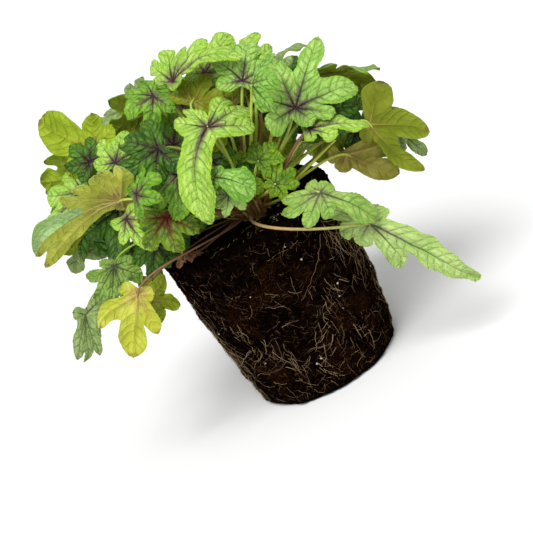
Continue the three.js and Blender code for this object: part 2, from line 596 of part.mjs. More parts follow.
function backLeaves() {
  const leaves = [];
  BACK_RINGS.forEach((ring, level) => {
    for (let i = 0; i < ring.count; i += 1) {
      const seed = 100 + 10 * level + i;
      const azimuth = (ring.from + ((ring.to - ring.from) * i) / (ring.count - 1)
        + 5 * vary(seed, 1)) * DEG;
      const outward = new THREE.Vector3(Math.cos(azimuth), Math.sin(azimuth), 0);
      const joint = new THREE.Vector3(CROWN.x, CROWN.y, SOIL_LEVEL)
        .addScaledVector(outward, ring.reach * (1 + 0.08 * vary(seed, 2)));
      joint.z += ring.height * (1 + 0.4 * ((i % 2) - 0.5) + 0.08 * vary(seed, 3));
      const fall = (ring.fall + 8 * vary(seed, 4)) * DEG;
      const tip = joint.clone().addScaledVector(outward, ring.length * Math.cos(fall));
      tip.z -= ring.length * Math.sin(fall);
      leaves.push({
        name: `back_leaf_${leaves.length + 1}`,
        outline: ['palm', 'broad'][i % 2],
        colour: ['mid', 'bright', 'dark'][i % 3],
        joint,
        tip,
        toward: UP,
        parting: outward.clone().add(UP).normalize(),
        turn: 12 * vary(seed, 5) * DEG,
        bend: (34 + 8 * vary(seed, 6)) * DEG,
        cup: 4 * DEG,
        fold: KEEL,
        trim: {},
        bow: 0,
        seed,
      });
    }
  });
  return leaves;
}

// Stalk bases: each starts on the crown below its own leaf, and bases push each other
// apart over the dome until none is closer than STALK_SPACING
function spreadBases(leaves) {
  for (const leaf of leaves) {
    const way = (leaf.first ?? leaf.joint).clone().sub(new THREE.Vector3(CROWN.x, CROWN.y, SOIL_LEVEL));
    const level = Math.hypot(way.x, way.y);
    const steep = Math.atan2(Math.max(way.z, 4), level);
    const rise = Math.sin(0.1 + 0.85 * steep);
    const out = Math.sqrt(1 - rise * rise) / level;
    leaf.base = new THREE.Vector3(way.x * out, way.y * out, rise);
  }
  for (let round = 0; round < 200; round += 1) {
    for (const one of leaves) {
      for (const other of leaves) {
        if (one === other) continue;
        const apart = one.base.angleTo(other.base);
        if (apart >= STALK_SPACING) continue;
        const push = one.base.clone().sub(other.base).normalize();
        one.base.addScaledVector(push, 0.25 * (STALK_SPACING - apart));
        one.base.z = Math.max(one.base.z, 0.16);
        one.base.normalize();
      }
    }
  }
}

function isClear(solid, placed) {
  const box = solid.boundingBox();
  return placed.every((other) => {
    const apart = [0, 1, 2].some((k) => (
      box.min[k] - CLEARANCE > other.box.max[k] || other.box.min[k] - CLEARANCE > box.max[k]));
    return apart || solid.minGap(other.solid, 2 * CLEARANCE) >= CLEARANCE;
  });
}

// Small moves that part a leaf from its neighbours, nearest first: nearer or further along
// the line of sight, then with the stalk swayed to one side
function clearingSteps() {
  const steps = [];
  for (const sway of [0, 9, -9, 20, -20, 34, -34]) {
    for (const push of [0, 2, -2, 4, -4, 6, -6, 9, -9, 12, -12, 16, -16, 20, -20]) {
      for (const size of [1, 0.86]) {
        for (const tilt of [0, 8, -8]) {
          const cost = Math.abs(push) + 0.3 * Math.abs(sway) + 70 * (1 - size)
            + 0.4 * Math.abs(tilt);
          steps.push({ sway, push, size, tilt, cost });
        }
      }
    }
  }
  return steps.sort((a, b) => a.cost - b.cost);
}

function settle(leaf, placed, steps) {
  for (const step of steps) {
    const moved = {
      ...leaf,
      sway: step.sway,
      joint: leaf.joint.clone().addScaledVector(leaf.parting, step.push),
      tip: leaf.joint.clone().lerp(leaf.tip, step.size)
        .addScaledVector(leaf.parting, step.push + step.tilt),
    };
    const solid = leafSolid(moved);
    if (isClear(solid, placed)) return solid;
  }
  return null;
}

// The plant ---------------------------------------------------------------------------

function mesh(name, solid, color, roughness) {
  const material = new THREE.MeshStandardMaterial({ color, roughness, metalness: 0 });
  const piece = new THREE.Mesh(geometryOf(solid), material);
  piece.name = name;
  return piece;
}

// Leaves in the order given, each parted from those before it
function growLeaves(leaves, others) {
  const placed = others.map((solid) => ({ solid, box: solid.boundingBox() }));
  const steps = clearingSteps();
  spreadBases(leaves);
  return leaves.map((leaf) => {
    const solid = settle(leaf, placed, steps);
    if (!solid) throw new Error(`${leaf.name} finds no clear place`);
    placed.push({ solid, box: solid.boundingBox() });
    return mesh(leaf.name, solid, GREEN[leaf.colour], 0.55);
  });
}

const group = new THREE.Group();
const ball = rootBall();
const dome = crown();
group.add(mesh('root_ball', ball, 0x1d1511, 1));
group.add(mesh('crown', dome, 0x6b4a2a, 0.9));
group.add(...growLeaves([...frontLeaves(), ...backLeaves()], [ball, dome]));

export default group;
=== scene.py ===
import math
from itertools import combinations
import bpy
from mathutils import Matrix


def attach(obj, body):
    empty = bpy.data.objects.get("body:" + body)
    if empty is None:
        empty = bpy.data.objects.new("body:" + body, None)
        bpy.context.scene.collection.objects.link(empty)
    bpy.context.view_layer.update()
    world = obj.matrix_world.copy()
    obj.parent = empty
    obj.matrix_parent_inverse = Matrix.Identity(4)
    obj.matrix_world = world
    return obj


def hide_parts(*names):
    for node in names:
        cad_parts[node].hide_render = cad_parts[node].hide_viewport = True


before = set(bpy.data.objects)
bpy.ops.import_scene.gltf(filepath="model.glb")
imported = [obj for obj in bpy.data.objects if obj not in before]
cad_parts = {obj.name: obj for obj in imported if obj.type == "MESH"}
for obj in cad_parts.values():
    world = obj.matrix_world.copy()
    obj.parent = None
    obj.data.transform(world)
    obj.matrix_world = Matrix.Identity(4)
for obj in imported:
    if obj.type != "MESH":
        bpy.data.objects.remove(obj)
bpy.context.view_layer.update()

# Heuchera plant with a bare root ball: the visual model over the CAD frame. Lengths are in
# millimetres until a mesh is made, then in metres.
from types import SimpleNamespace

import bpy
import numpy as np
from mathutils import Matrix, Vector, noise

MM = 0.001
UP = np.array([0.0, 0.0, 1.0])

# Root ball and crown, as in the CAD model
BALL_HEIGHT = 120
BALL_TOP_RADIUS = 62.5
BALL_FOOT_RADIUS = 50.5
SIDE_RADIUS = 57  # a usual radius of the ball, which turns a way round its side into an angle
FOOT_ROUND = 3
RIM_ROUND = 2.5
SOIL_DIP = 2.5
SOIL_LEVEL = BALL_HEIGHT - SOIL_DIP
LUMP = 1.1
CRUMBLED_RIM = SimpleNamespace(azimuth=12, spread=34, depth=7, reach=0.55)
CROWN_RADIUS = 12
CROWN_HEIGHT = 22
CROWN_CENTRE = np.array([6, -10, SOIL_LEVEL], float)
CROWN_REACH = np.array([CROWN_RADIUS, CROWN_RADIUS, CROWN_HEIGHT], float)

# Leaves, as in the CAD model; spots are given to the right, up and towards the viewer
KEEL = 0.16
RIPPLE = 0.9
STALK_RADIUS = 1.25
STALK_GAP = 0.4
STALK_SPACING = math.radians(17)
SIGHT_TILT = math.radians(17)
RISE = np.array([0, math.sin(SIGHT_TILT), math.cos(SIGHT_TILT)])
NEAR = np.array([0, -math.cos(SIGHT_TILT), math.sin(SIGHT_TILT)])

# Usual outlines: angle, length and half width of the lobes, and the bay after each
OUTLINES = {
    "palm": {"lobes": [(0, 1, 0.26), (50, 0.86, 0.24), (102, 0.68, 0.22)],
             "gaps": (0.58, 0.48, 0.14)},
    "broad": {"lobes": [(0, 1, 0.26), (50, 0.88, 0.23), (104, 0.7, 0.2)],
              "gaps": (0.56, 0.48, 0.14)},
    "long": {"lobes": [(0, 1, 0.17), (42, 0.56, 0.15), (98, 0.42, 0.14)],
             "gaps": (0.34, 0.28, 0.1)},
    "oar": {"lobes": [(0, 1, 0.3), (62, 0.56, 0.2), (112, 0.44, 0.17)],
            "gaps": (0.42, 0.32, 0.1)},
    "fan": {"lobes": [(0, 1, 0.26), (46, 0.94, 0.25), (92, 0.8, 0.23), (136, 0.5, 0.18)],
            "gaps": (0.64, 0.58, 0.44, 0.14), "margin": "blunt"},
}
# Blades with a shape of their own: angle, length, half width, bay after it, margin if given
SHAPES = {
    "front_leaf_1": [[-142, 0.34, 0.11, 0.24], [-98, 0.34, 0.11, 0.22], [0, 1, 0.17, 0.2],
                     [101, 0.5, 0.15, 0.3], [135, 0.64, 0.14, 0.42], [163, 0.58, 0.12, 0.16]],
    "left_leaf_2": [[-70, 0.14, 0.1, 0.12], [0, 1, 0.1, 0.74], [12, 0.97, 0.19, 0.4],
                    [40, 0.5, 0.15, 0.35], [65, 0.4, 0.13, 0.3], [90, 0.37, 0.12, 0.28],
                    [114, 0.38, 0.12, 0.29], [138, 0.44, 0.13, 0.08]],
    "right_leaf_6": [[-86, 0.24, 0.12, 0.16], [-36, 0.5, 0.13, 0.3], [0, 1, 0.17, 0.26],
                     [40, 0.4, 0.13, 0.18], [92, 0.26, 0.12, 0.1]],
    "right_leaf_4": [[-112, 0.3, 0.16, 0.2], [-80, 0.5, 0.16, 0.36], [-47, 0.83, 0.18, 0.5],
                     [0, 1, 0.14, 0.48], [40, 0.68, 0.2, 0.44], [86, 0.56, 0.22, 0.36],
                     [136, 0.42, 0.2, 0.14]],
    "right_leaf_1": [[-100, 0.5, 0.2, 0.36], [-50, 0.74, 0.25, 0.56], [0, 1, 0.3, 0.56],
                     [50, 0.78, 0.24, 0.4], [102, 0.56, 0.2, 0.14]],
    "front_leaf_2": [[-74, 0.3, 0.16, 0.26], [0, 1, 0.36, 0.26], [74, 0.3, 0.16, 0.14]],
    "left_leaf_11": [[-96, 0.36, 0.15, 0.26], [-57, 0.72, 0.21, 0.5], [-25, 0.9, 0.16, 0.7],
                     [0, 1, 0.15, 0.7], [24, 0.92, 0.17, 0.5], [72, 0.74, 0.23, 0.4],
                     [112, 0.46, 0.16, 0.14]],
    "top_leaf_1": [[-50, 0.24, 0.1, 0.2], [0, 1, 0.14, 0.45], [30, 0.64, 0.14, 0.33],
                   [64, 0.47, 0.1, 0.33], [92, 0.58, 0.14, 0.36], [127, 0.5, 0.14, 0.24],
                   [163, 0.32, 0.12, 0.1]],
    "left_leaf_12": [[-100, 0.26, 0.14, 0.2], [-34, 0.7, 0.14, 0.5], [0, 1, 0.23, 0.5],
                     [52, 0.78, 0.16, 0.22], [105, 0.3, 0.14, 0.1]],
    "left_leaf_14": [[-105, 0.27, 0.12, 0.2], [-15, 0.98, 0.15, 0.76], [0, 1, 0.1, 0.68],
                     [16, 0.88, 0.15, 0.3], [130, 0.6, 0.13, 0.12]],
    "right_leaf_14": [[-150, 0.68, 0.13, 0.53], [-126, 0.72, 0.13, 0.366],
                      [-90, 0.58, 0.15, 0.276], [-42, 0.42, 0.16, 0.27], [0, 1, 0.18, 0.161],
                      [70, 0.22, 0.12, 0.15], [160, 0.27, 0.14, 0.12]],
    "right_leaf_15": [[-158, 0.4, 0.12, 0.22], [-121, 0.28, 0.14, 0.17], [-79, 0.22, 0.12, 0.16],
                      [-20, 0.47, 0.12, 0.34], [0, 1, 0.13, 0.12, "taper"], [105, 0.17, 0.1, 0.08]],
    "right_leaf_8": [[-126, 0.62, 0.27, 0.4], [-47, 0.81, 0.2, 0.43], [0, 1, 0.12, 0.18],
                     [60, 0.25, 0.1, 0.1]],
    "right_leaf_9": [[-42, 0.95, 0.24, 0.66], [0, 1, 0.22, 0.26], [90, 0.34, 0.18, 0.22],
                     [155, 0.38, 0.22, 0.12]],
}
BAY_REACH = 0.64  # furthest that a bay lies out, as a part of the length of the lobe beside it
CLOSE_REACH = 0.76  # the same for lobes that stand close together
CLOSE_LOBES = 26  # degrees between lobes that do
# Margins from bay to tip: places as parts of the lobe's length and of its half width
MARGINS = {
    "main": [[0.54, 0.96], [0.72, 1.04], [0.83, 0.88], [0.94, 0.56]],
    "side": [[0.64, 1.04], [0.8, 0.88], [0.92, 0.58]],
    "last": [[0.78, 0.95]],
    "blunt": [[0.7, 0.95], [0.92, 0.58]],
    "ends": [[0.8, 0.85], [0.94, 0.42]],
    "taper": [[0.4, 1], [0.66, 0.74], [0.9, 0.36]],
}

# Every leaf in view from the front: name, outline, colour, joint, tip, turn, bend and cup
LEAVES = [
    ("front_leaf_1", "own", "bright", (5.5, 52.5, 62), (-24, 6, 80), 0, 60, 10),
    ("left_leaf_2", "own", "rusty", (-61.5, 41.5, 45), (-124, 29, 25), 148, 28, 0),
    ("right_leaf_4", "own", "soft", (57, 37.5, 50), (90.5, 69.5, 38), -4, 18, 4),
    ("right_leaf_8", "own", "moss", (93.5, 7.5, 30), (104, -35, 24), 175, 22, 0),
    ("top_leaf_1", "own", "bright", (1, 89, 30), (43.5, 81, 45), -35, 35, 30),
    ("left_leaf_12", "own", "yellow", (-80, -13, 48), (-103, -43.5, 45), 178, 16, 0),
    ("right_leaf_14", "own", "sage", (44, -13, 74), (67.5, -42.5, 72), -12, 34, -14),
    ("right_leaf_15", "own", "pale", (61, -43.5, 62), (93, -110, 54), 22, 30, -10),
    ("left_leaf_1", "broad", "dark", (-26, 56, 55), (-54.5, 52.5, 52), 18, 25, 14),
    ("right_leaf_1", "own", "soft", (38, 68, 45), (54, 88.5, 31), -8, 20, 5),
    ("front_leaf_2", "own", "silver", (-5.5, 24.5, 70), (13, 8, 80), -12, 70, 5),
    ("front_leaf_4", "broad", "young", (-41.5, 18.5, 60), (-46.5, -3.5, 68), 0, 30, 8),
    ("left_leaf_11", "own", "dull", (-85, 9, 38), (-98.5, -13, 40), 8, 22, 4),
    ("front_leaf_5", "fan", "fresh", (24.5, 4, 50), (42, 6.5, 48), -18, 14, 12),
    ("left_leaf_5", "oar", "lime", (-61, 77, 26), (-86, 107, 14), 182, 18, 0),
    ("right_leaf_9", "own", "brown", (74, -2, 16), (94.5, -29.5, 12), 195, 18, 0),
    ("left_leaf_4", "broad", "dark", (-66.5, 70.5, 38), (-73, 87, 30), 0, 20, 5),
    ("top_leaf_2", "broad", "mid", (-13.5, 86.5, 32), (-35, 84, 38), 28, 30, 15),
    ("right_leaf_6", "own", "bright", (58, 22.5, 50), (91.5, 8.5, 46), -48, 30, 0),
    ("right_leaf_3", "fan", "silver", (41, 61, 60), (55, 55, 68), -10, 75, -5),
    ("left_leaf_9", "long", "bright", (-63.5, 30, 52), (-59.5, 4, 58), 10, 30, 10),
    ("front_leaf_3", "fan", "pale", (-3, 12, 60), (-10, 1, 68), 5, 40, 10),
    ("front_leaf_7", "broad", "mid", (-50, 38, 66), (-28, 42, 64), -40, 30, 5),
    ("front_leaf_6", "palm", "mid", (-23, 37, 50), (-34.5, 7.5, 57), 12, 35, 0),
    ("left_leaf_3", "long", "bright", (-82, 60, 12), (-129, 39, 3), 35, 40, 0),
    ("right_leaf_2", "long", "grey", (54, 66, 42), (83, 71, 30), -62, 50, 5),
    ("right_leaf_5", "palm", "dark", (67, 31, 34), (92, 20.5, 28), -15, 25, 0),
    ("left_leaf_14", "own", "grey", (-117, -8.5, 25), (-129.5, -36, 22), 12, 30, 10),
    ("left_leaf_6", "palm", "lime", (-76, 71, 10), (-106, 77, 0), 150, 22, 0),
    ("left_leaf_7", "palm", "lime", (-82, 66, -16), (-113, 60, -26), 125, 25, 0),
    ("left_leaf_8", "palm", "bright", (-53, 62, 46), (-39, 77, 40), -15, 20, 0),
    ("right_leaf_7", "palm", "olive", (80, 51, 12), (119, 18.5, 0), -108, 35, 0),
    ("top_leaf_3", "oar", "bright", (21.5, 86, 12), (47.5, 101, 5), -25, 25, 5),
    ("top_leaf_7", "broad", "olive", (-18, 82, 16), (-51, 84, 8), 138, 30, 0),
    ("top_leaf_6", "palm", "grey", (-32, 93, -4), (-58, 90, -8), 55, 45, 0),
    ("top_leaf_5", "broad", "grey", (-22, 92, 4), (-27, 106, -6), -20, 30, 5),
    ("top_leaf_4", "broad", "moss", (5.5, 72.5, 36), (25, 85, 26), 165, 25, 0),
    ("left_leaf_10", "palm", "dark", (-67, 40, 34), (-84.5, 9, 30), 25, 30, 0),
    ("left_leaf_13", "palm", "olive", (-78, -19, 36), (-61.5, -30, 32), 165, 15, 0),
    ("dead_leaf", "palm", "dead", (-42, -7, 29.5), (-51.5, -10, 36.5), 0, 40, -10),
    ("left_leaf_15", "palm", "dark", (-92, 42, 6), (-90, 17.5, 8), 15, 30, 0),
    ("left_leaf_16", "palm", "grey", (-99, 38, 0), (-115, 17, 0), 45, 40, 0),
    ("front_leaf_8", "broad", "fresh", (22.5, 21, 33), (37, 26, 28), -25, 25, 5),
    ("right_leaf_11", "palm", "dark", (86, 8, 18), (102.5, -4, 12), 0, 20, 0),
    ("right_leaf_10", "long", "grey", (110, -5, 6), (122, -26, 0), 20, 25, 0),
    ("right_leaf_12", "long", "dark", (53, 19.5, 25), (71, 10, 18), -100, 30, 0),
    ("right_leaf_13", "broad", "olive", (36, 28, 18), (50, 44, 8), 180, 20, 0),
]
# Leaves deep in the mound, in this model only: outline, colour, joint, tip and turn
INNER_LEAVES = [
    ("palm", "moss", (30, 60, 14), (38, 84, 6), 165),
    ("broad", "mid", (-18, 56, 22), (-24, 80, 14), 10),
    ("palm", "dark", (-38, 22, 26), (-46, -3, 30), 15),
    ("broad", "moss", (12, 42, 14), (18, 66, 4), -160),
    ("palm", "mid", (44, 36, 14), (62, 50, 8), -20),
    ("broad", "mid", (-58, 50, 10), (-82, 42, 6), 30),
    ("long", "olive", (-90, 38, 0), (-114, 30, -6), 160),
    ("palm", "dark", (58, 58, 0), (78, 70, -8), -35),
    ("broad", "mid", (0, 76, 2), (-6, 99, -6), 5),
    ("palm", "olive", (66, 14, 4), (88, 4, 2), 170),
    ("broad", "dark", (-58, 8, 18), (-72, -13, 20), 20),
    ("palm", "olive", (-32, 80, -12), (-44, 98, -18), 150),
    ("broad", "bright", (46, 80, -8), (62, 98, -16), -25),
    ("palm", "mid", (-76, 16, 2), (-94, 6, -4), 25),
    ("palm", "fresh", (6, 22, 36), (16, 4, 42), -5),
    ("broad", "dark", (-2, 36, 28), (-14, 16, 32), 10),
    ("palm", "olive", (26, 32, 6), (40, 20, 0), 175),
    ("broad", "mid", (84, 30, -10), (104, 22, -18), -30),
    ("palm", "moss", (36, 61, 24), (33, 79, 16), 170),
    ("broad", "olive", (43, 59, 26), (50, 75, 14), 165),
    ("palm", "moss", (51, 47, 22), (62, 60, 12), 175),
    ("palm", "fresh", (55, 41, 24), (68, 48, 16), -30),
    ("broad", "olive", (27, 60, 28), (20, 76, 20), 160),
    ("palm", "moss", (16, 50, 26), (8, 66, 20), 170),
]
# Leaves at the back, in rings round the crown: azimuths, place of the joints, length and fall
BACK_RINGS = [
    {"count": 5, "from": 30, "to": 136, "reach": 72, "height": 40, "length": 44, "fall": 34},
    {"count": 2, "from": 58, "to": 94, "reach": 46, "height": 64, "length": 38, "fall": 14},
    {"count": 3, "from": 54, "to": 124, "reach": 80, "height": 12, "length": 40, "fall": 42},
]
# How the CAD model moved leaves clear of their neighbours: push, size and tilt
SETTLED = {
    "right_leaf_1": (-6, 1, 0), "front_leaf_5": (2, 0.86, 0), "top_leaf_2": (4, 1, 0),
    "right_leaf_3": (6, 1, 8), "left_leaf_9": (-2, 1, 0), "front_leaf_7": (2, 0.86, 8),
    "front_leaf_6": (9, 0.86, 0), "right_leaf_2": (-12, 1, 0), "right_leaf_5": (0, 1, 8),
    "left_leaf_6": (-16, 1, 0), "left_leaf_7": (-20, 1, 0), "right_leaf_7": (-4, 1, 0),
    "top_leaf_7": (-4, 1, 0), "top_leaf_6": (-9, 1, 0), "top_leaf_4": (-4, 0.86, 0),
    "left_leaf_10": (-20, 1, 0), "dead_leaf": (6, 1, 0), "left_leaf_15": (-9, 1, 0),
    "left_leaf_16": (-16, 1, 0), "front_leaf_8": (16, 1, 0), "right_leaf_11": (-4, 1, 0),
    "right_leaf_13": (-2, 1, 8), "back_leaf_2": (4, 1, 0), "back_leaf_5": (2, 0.86, 0),
    "back_leaf_6": (-2, 0.86, 8), "back_leaf_7": (4, 1, 0),
}
# What single leaves have of their own. Twist, sweep and droop are given lobe by lobe, from the
# main one out to the two sides; turned is the lobe, side and start of a turned margin.
OWN_FORMS = {
    "front_leaf_1": {"bow": -0.1,
                     "twist": {0: 0.1, 1: -0.1, 2: 0.12, 3: -0.5, -1: 0.3, -2: -0.4},
                     "droop": {0: 0.002, 1: 0.012, 2: 0.004, 3: -0.012, -1: 0.02, -2: -0.02},
                     "sweep": {0: 0.06, 1: 0.12, 2: -0.1, 3: -0.14, -1: 0, -2: 0.1}},
    "left_leaf_2": {"bow": 0.06, "twist": {0: 0, 1: 0.1}, "droop": {0: 0.001, 1: 0.004},
                    "sweep": {0: 0, 1: -0.06}, "turned": (1, 1, 0.36)},
    "right_leaf_4": {"twist": {0: 0.25, -1: -0.2, -2: 0.3, 2: -0.3, 3: 0.3},
                     "droop": {0: 0.001, 1: -0.01, 2: 0.014, 3: 0.02, -1: 0.003, -2: 0.012}},
    "top_leaf_1": {"bow": 0.14, "twist": {0: 0.3, 1: -0.3, 2: 0.3, 3: -0.4, 4: 0.3},
                   "droop": {0: 0.002, 1: -0.006, 3: 0.016, 4: 0.008}},
    "right_leaf_15": {"first": (-8, -10, 80), "second": (30, -32, 77), "fold": 0.3, "bow": 0.09,
                      "twist": {0: 0.15, -1: -0.1}, "droop": {0: 0.001, -1: 0.004}},
    "front_leaf_2": {"twist": {0: 0}, "droop": {0: 0}, "roll": 0.022},
    "dead_leaf": {"toward": UP},
}

# Fine blade
BLADE_THICKNESS = 0.6
# Spacing of mesh rows along a margin, and the columns' places from midrib to margin, for the
# leaves at the front, at the back and inside the mound
FINE_MESH = {"pitch": 0.89, "columns": np.array([0, 0.05, 0.12, 0.24, 0.4, 0.58, 0.78, 1])}
BACK_MESH = {"pitch": 1.0, "columns": np.array([0, 0.07, 0.2, 0.42, 0.7, 1])}
INNER_MESH = {"pitch": 1.1, "columns": np.array([0, 0.1, 0.3, 0.6, 1])}
ROLL = 0.026  # fall of the blade per square mm away from a midrib
DROOP = 0.016  # usual fall of a lobe per square mm past its root
MOST_DROOP = 8
SWEEP = 0.15  # how far a lobe may lean to one side at its tip, per length of the lobe
TWIST = 0.42  # how steeply a lobe may turn about its midrib
VEIN_LEAN = 0.28  # run of a side vein towards the tip, per mm away from its midrib
VEIN_CURVE = 0.7  # how much that grows over the half width of the lobe
VEIN_GAP = 8  # usual spacing of side veins
# toward is the way the upper side faces, first and second steer the stalk's curve
USUAL_LEAF = {"toward": NEAR, "first": None, "second": None, "sway": 0, "fold": KEEL, "bow": 0,
              "sweep": {}, "twist": {}, "droop": {}, "roll": ROLL, "turned": None}
STALK_SIDES = 8
STALK_STEPS = 26
# By look: pitch and height of the margin's teeth, and the slot. By name: colour and width of
# the stalk, where they aren't the usual ones
USUAL_TEETH = (2.9, 0.42)
TEETH = {"fresh": (3.9, 0.9), "young": (3.6, 0.7), "olive": (4.2, 0.25), "yellow": (4.4, 0.16),
         "grey": (3.4, 0.3), **dict.fromkeys(("lime", "rusty", "moss", "brown"), (4.2, 0.2))}
SLOTS = {"dark": "leaf_dark", "grey": "leaf_grey", "dead": "dead_leaf",
         **dict.fromkeys(("olive", "lime", "rusty", "moss", "brown", "yellow"), "leaf_olive")}
TINTED = {"right_leaf_8": "lime", "right_leaf_15": "tan", "left_leaf_12": "red",
          "left_leaf_13": "red", "left_leaf_14": "tan"}
SLENDER = {"left_leaf_11": 0.5, "left_leaf_12": 0.48, "left_leaf_13": 0.42,
           "left_leaf_14": 0.42, "dead_leaf": 0.5}


def unit(vector):
    return vector / np.linalg.norm(vector)


def vary(seed, index):
    """Repeatable variation: a number from -1 to 1 for a seed and an index."""
    value = math.sin(seed * 12.9898 + index * 78.233) * 43758.5453
    return 2 * (value - math.floor(value)) - 1


def smooth(value):
    value = np.clip(value, 0, 1)
    return value * value * (3 - 2 * value)


# Meshes ------------------------------------------------------------------------------


def make_object(name, vertices, faces, materials, face_materials=None):
    """An object from points in millimetres and faces, smooth but for its sharp edges."""
    mesh = bpy.data.meshes.new(name)
    mesh.from_pydata((np.asarray(vertices) * MM).tolist(), [], [list(f) for f in faces])
    for material in materials:
        mesh.materials.append(material)
    if face_materials is not None:
        mesh.polygons.foreach_set("material_index", np.asarray(face_materials, np.int32))
    mesh.shade_smooth()
    mesh.set_sharp_from_angle(angle=math.radians(55))
    mesh.update()
    thing = bpy.data.objects.new(name, mesh)
    bpy.context.scene.collection.objects.link(thing)
    return thing


def set_corners(mesh, name, values):
    """A vector for each face corner, read by the materials under that name."""
    attribute = mesh.attributes.new(name, "FLOAT_VECTOR", "CORNER")
    attribute.data.foreach_set("vector", np.asarray(values, np.float32).ravel())


def set_points(mesh, name, values):
    attribute = mesh.attributes.new(name, "FLOAT", "POINT")
    attribute.data.foreach_set("value", np.asarray(values, np.float32))


def path_frames(path):
    """Two directions square to a path at each of its points, turning as little as they can."""
    tangents = np.gradient(path, axis=0)
    tangents /= np.linalg.norm(tangents, axis=1)[:, None]
    start = np.cross(tangents[0], UP if abs(tangents[0][2]) < 0.9 else np.array([1.0, 0, 0]))
    firsts = [unit(start)]
    for tangent in tangents[1:]:
        first = firsts[-1] - tangent * np.dot(firsts[-1], tangent)
        firsts.append(unit(first))
    firsts = np.array(firsts)
    return firsts, np.cross(tangents, firsts)


def tube(path, radii, sides):
    """Closed tube along a path: points, faces, and how far along each point is, 0 to 1."""
    path = np.asarray(path, float)
    firsts, seconds = path_frames(path)
    angles = 2 * np.pi * np.arange(sides) / sides
    ring = np.cos(angles)[None, :, None] * firsts[:, None, :]
    ring = ring + np.sin(angles)[None, :, None] * seconds[:, None, :]
    points = path[:, None, :] + ring * np.asarray(radii, float)[:, None, None]
    count = len(path)
    points = np.vstack([points.reshape(-1, 3), path[:1], path[-1:]])
    faces = []
    for i in range(count - 1):
        for k in range(sides):
            a, b = i * sides + k, i * sides + (k + 1) % sides
            faces.append((a, b, b + sides, a + sides))
    low, high = count * sides, count * sides + 1
    for k in range(sides):
        after = (k + 1) % sides
        faces.append((low, after, k))
        faces.append((high, (count - 1) * sides + k, (count - 1) * sides + after))
    along = np.append(np.repeat(np.linspace(0, 1, count), sides), [0, 1])
    return points, faces, along


def shell(columns, rows):
    """Faces of upright columns of points, closed by one point below and one above."""
    low = columns * rows
    faces = []
    for k in range(columns):
        here, beside = k * rows, ((k + 1) % columns) * rows
        faces += [(low, beside, here), (low + 1, here + rows - 1, beside + rows - 1)]
        for i in range(rows - 1):
            faces.append((here + i, beside + i, beside + i + 1, here + i + 1))
    return faces


# Leaves ------------------------------------------------------------------------------


def place(spot):
    right, rise, near = spot
    return np.array([right, 0, BALL_HEIGHT]) + rise * RISE + near * NEAR


def lobes_of(leaf):
    """The lobes in order of angle, each with its margin and the bay after it."""
    if leaf.outline == "own":
        return own_lobes(SHAPES[leaf.name])
    outline = OUTLINES[leaf.outline]
    last = len(outline["lobes"]) - 1

    def one_side(side):
        found = []
        for i, (angle, length, width) in enumerate(outline["lobes"]):
            grown = 1 if i == 0 else 1 + 0.08 * vary(leaf.seed, side * i)
            kind = "last" if i == last else outline.get("margin", "main" if i == 0 else "side")
            found.append(SimpleNamespace(
                angle=math.radians(side * angle), length=length * grown, width=width,
                bay=outline["gaps"][i - 1 if side < 0 else i], reach=BAY_REACH,
                margin=MARGINS[kind]))
        return found

    return one_side(-1)[:0:-1] + one_side(1)


def own_lobes(shape):
    found = []
    for i, (angle, length, width, bay, *margin) in enumerate(shape):
        beside = shape[max(0, i - 1):i] + shape[i + 1:i + 2]
        close = any(abs(other[0] - angle) < CLOSE_LOBES for other in beside)
        usual = "main" if angle == 0 else "last" if length < 0.3 else "blunt"
        kind = margin[0] if margin else "ends" if close else usual
        found.append(SimpleNamespace(
            angle=math.radians(angle), length=length, width=width, bay=bay,
            reach=CLOSE_REACH if kind == "ends" else BAY_REACH, margin=MARGINS[kind]))
    return found


def smooth_margin(points):
    """A fine line from the bay through a margin's points, square to the midrib at the tip."""
    points = np.asarray(points, float)
    chords = np.linalg.norm(np.diff(points, axis=0), axis=1)
    knots = np.concatenate([[0], np.cumsum(np.sqrt(chords))])
    gaps = np.diff(knots)
    slopes = np.diff(points, axis=0) / gaps[:, None]
    share = (gaps[:-1] / (knots[2:] - knots[:-2]))[:, None]
    tangents = np.vstack([slopes[:1], slopes[:-1] * (1 - share) + slopes[1:] * share,
                          [[0.0, -chords[-1] / gaps[-1] * 1.15]]])
    line = [(2 * t**3 - 3 * t**2 + 1) * points[i] + (t**3 - 2 * t**2 + t) * gap * tangents[i]
            + (-2 * t**3 + 3 * t**2) * points[i + 1] + (t**3 - t**2) * gap * tangents[i + 1]
            for i, gap in enumerate(gaps) for t in np.linspace(0, 1, 16, endpoint=False)]
    return np.vstack([*line, points[-1]])


def toothed(line, count, length, seed, tooth):
    """The margin as count + 1 evenly spread points, with rounded teeth, in lobe units."""
    pitch, size = tooth
    steps = np.concatenate([[0], np.cumsum(np.linalg.norm(np.diff(line, axis=0), axis=1))])
    places = np.linspace(0, steps[-1], count + 1)
    even = np.stack([np.interp(places, steps, line[:, k]) for k in range(2)], axis=1)
    tangent = np.gradient(even, axis=0)
    tangent /= np.linalg.norm(tangent, axis=1)[:, None]
    outward = np.stack([-tangent[:, 1], tangent[:, 0]], axis=1)
    part = places / steps[-1]
    teeth = max(2, round(steps[-1] * length / pitch))
    wobble = part + 0.4 / teeth * np.sin(9 * part + seed) * (1 - part)
    phase = np.pi * (teeth * (wobble - 1) + 0.5)
    height = (np.abs(np.sin(phase)) ** 0.8 - 0.6) * size
    height *= 1 + 0.5 * np.sin(5.3 * part + 2.1 * seed)
    height += (0.3 + 0.35 * size) * np.sin(phase / 3.3 + seed)
    even += outward * (height * smooth(part / 0.16) / length)[:, None]
    even[-1, 1] = 0
    even[:, 1] = np.maximum(even[:, 1], 0)
    return even


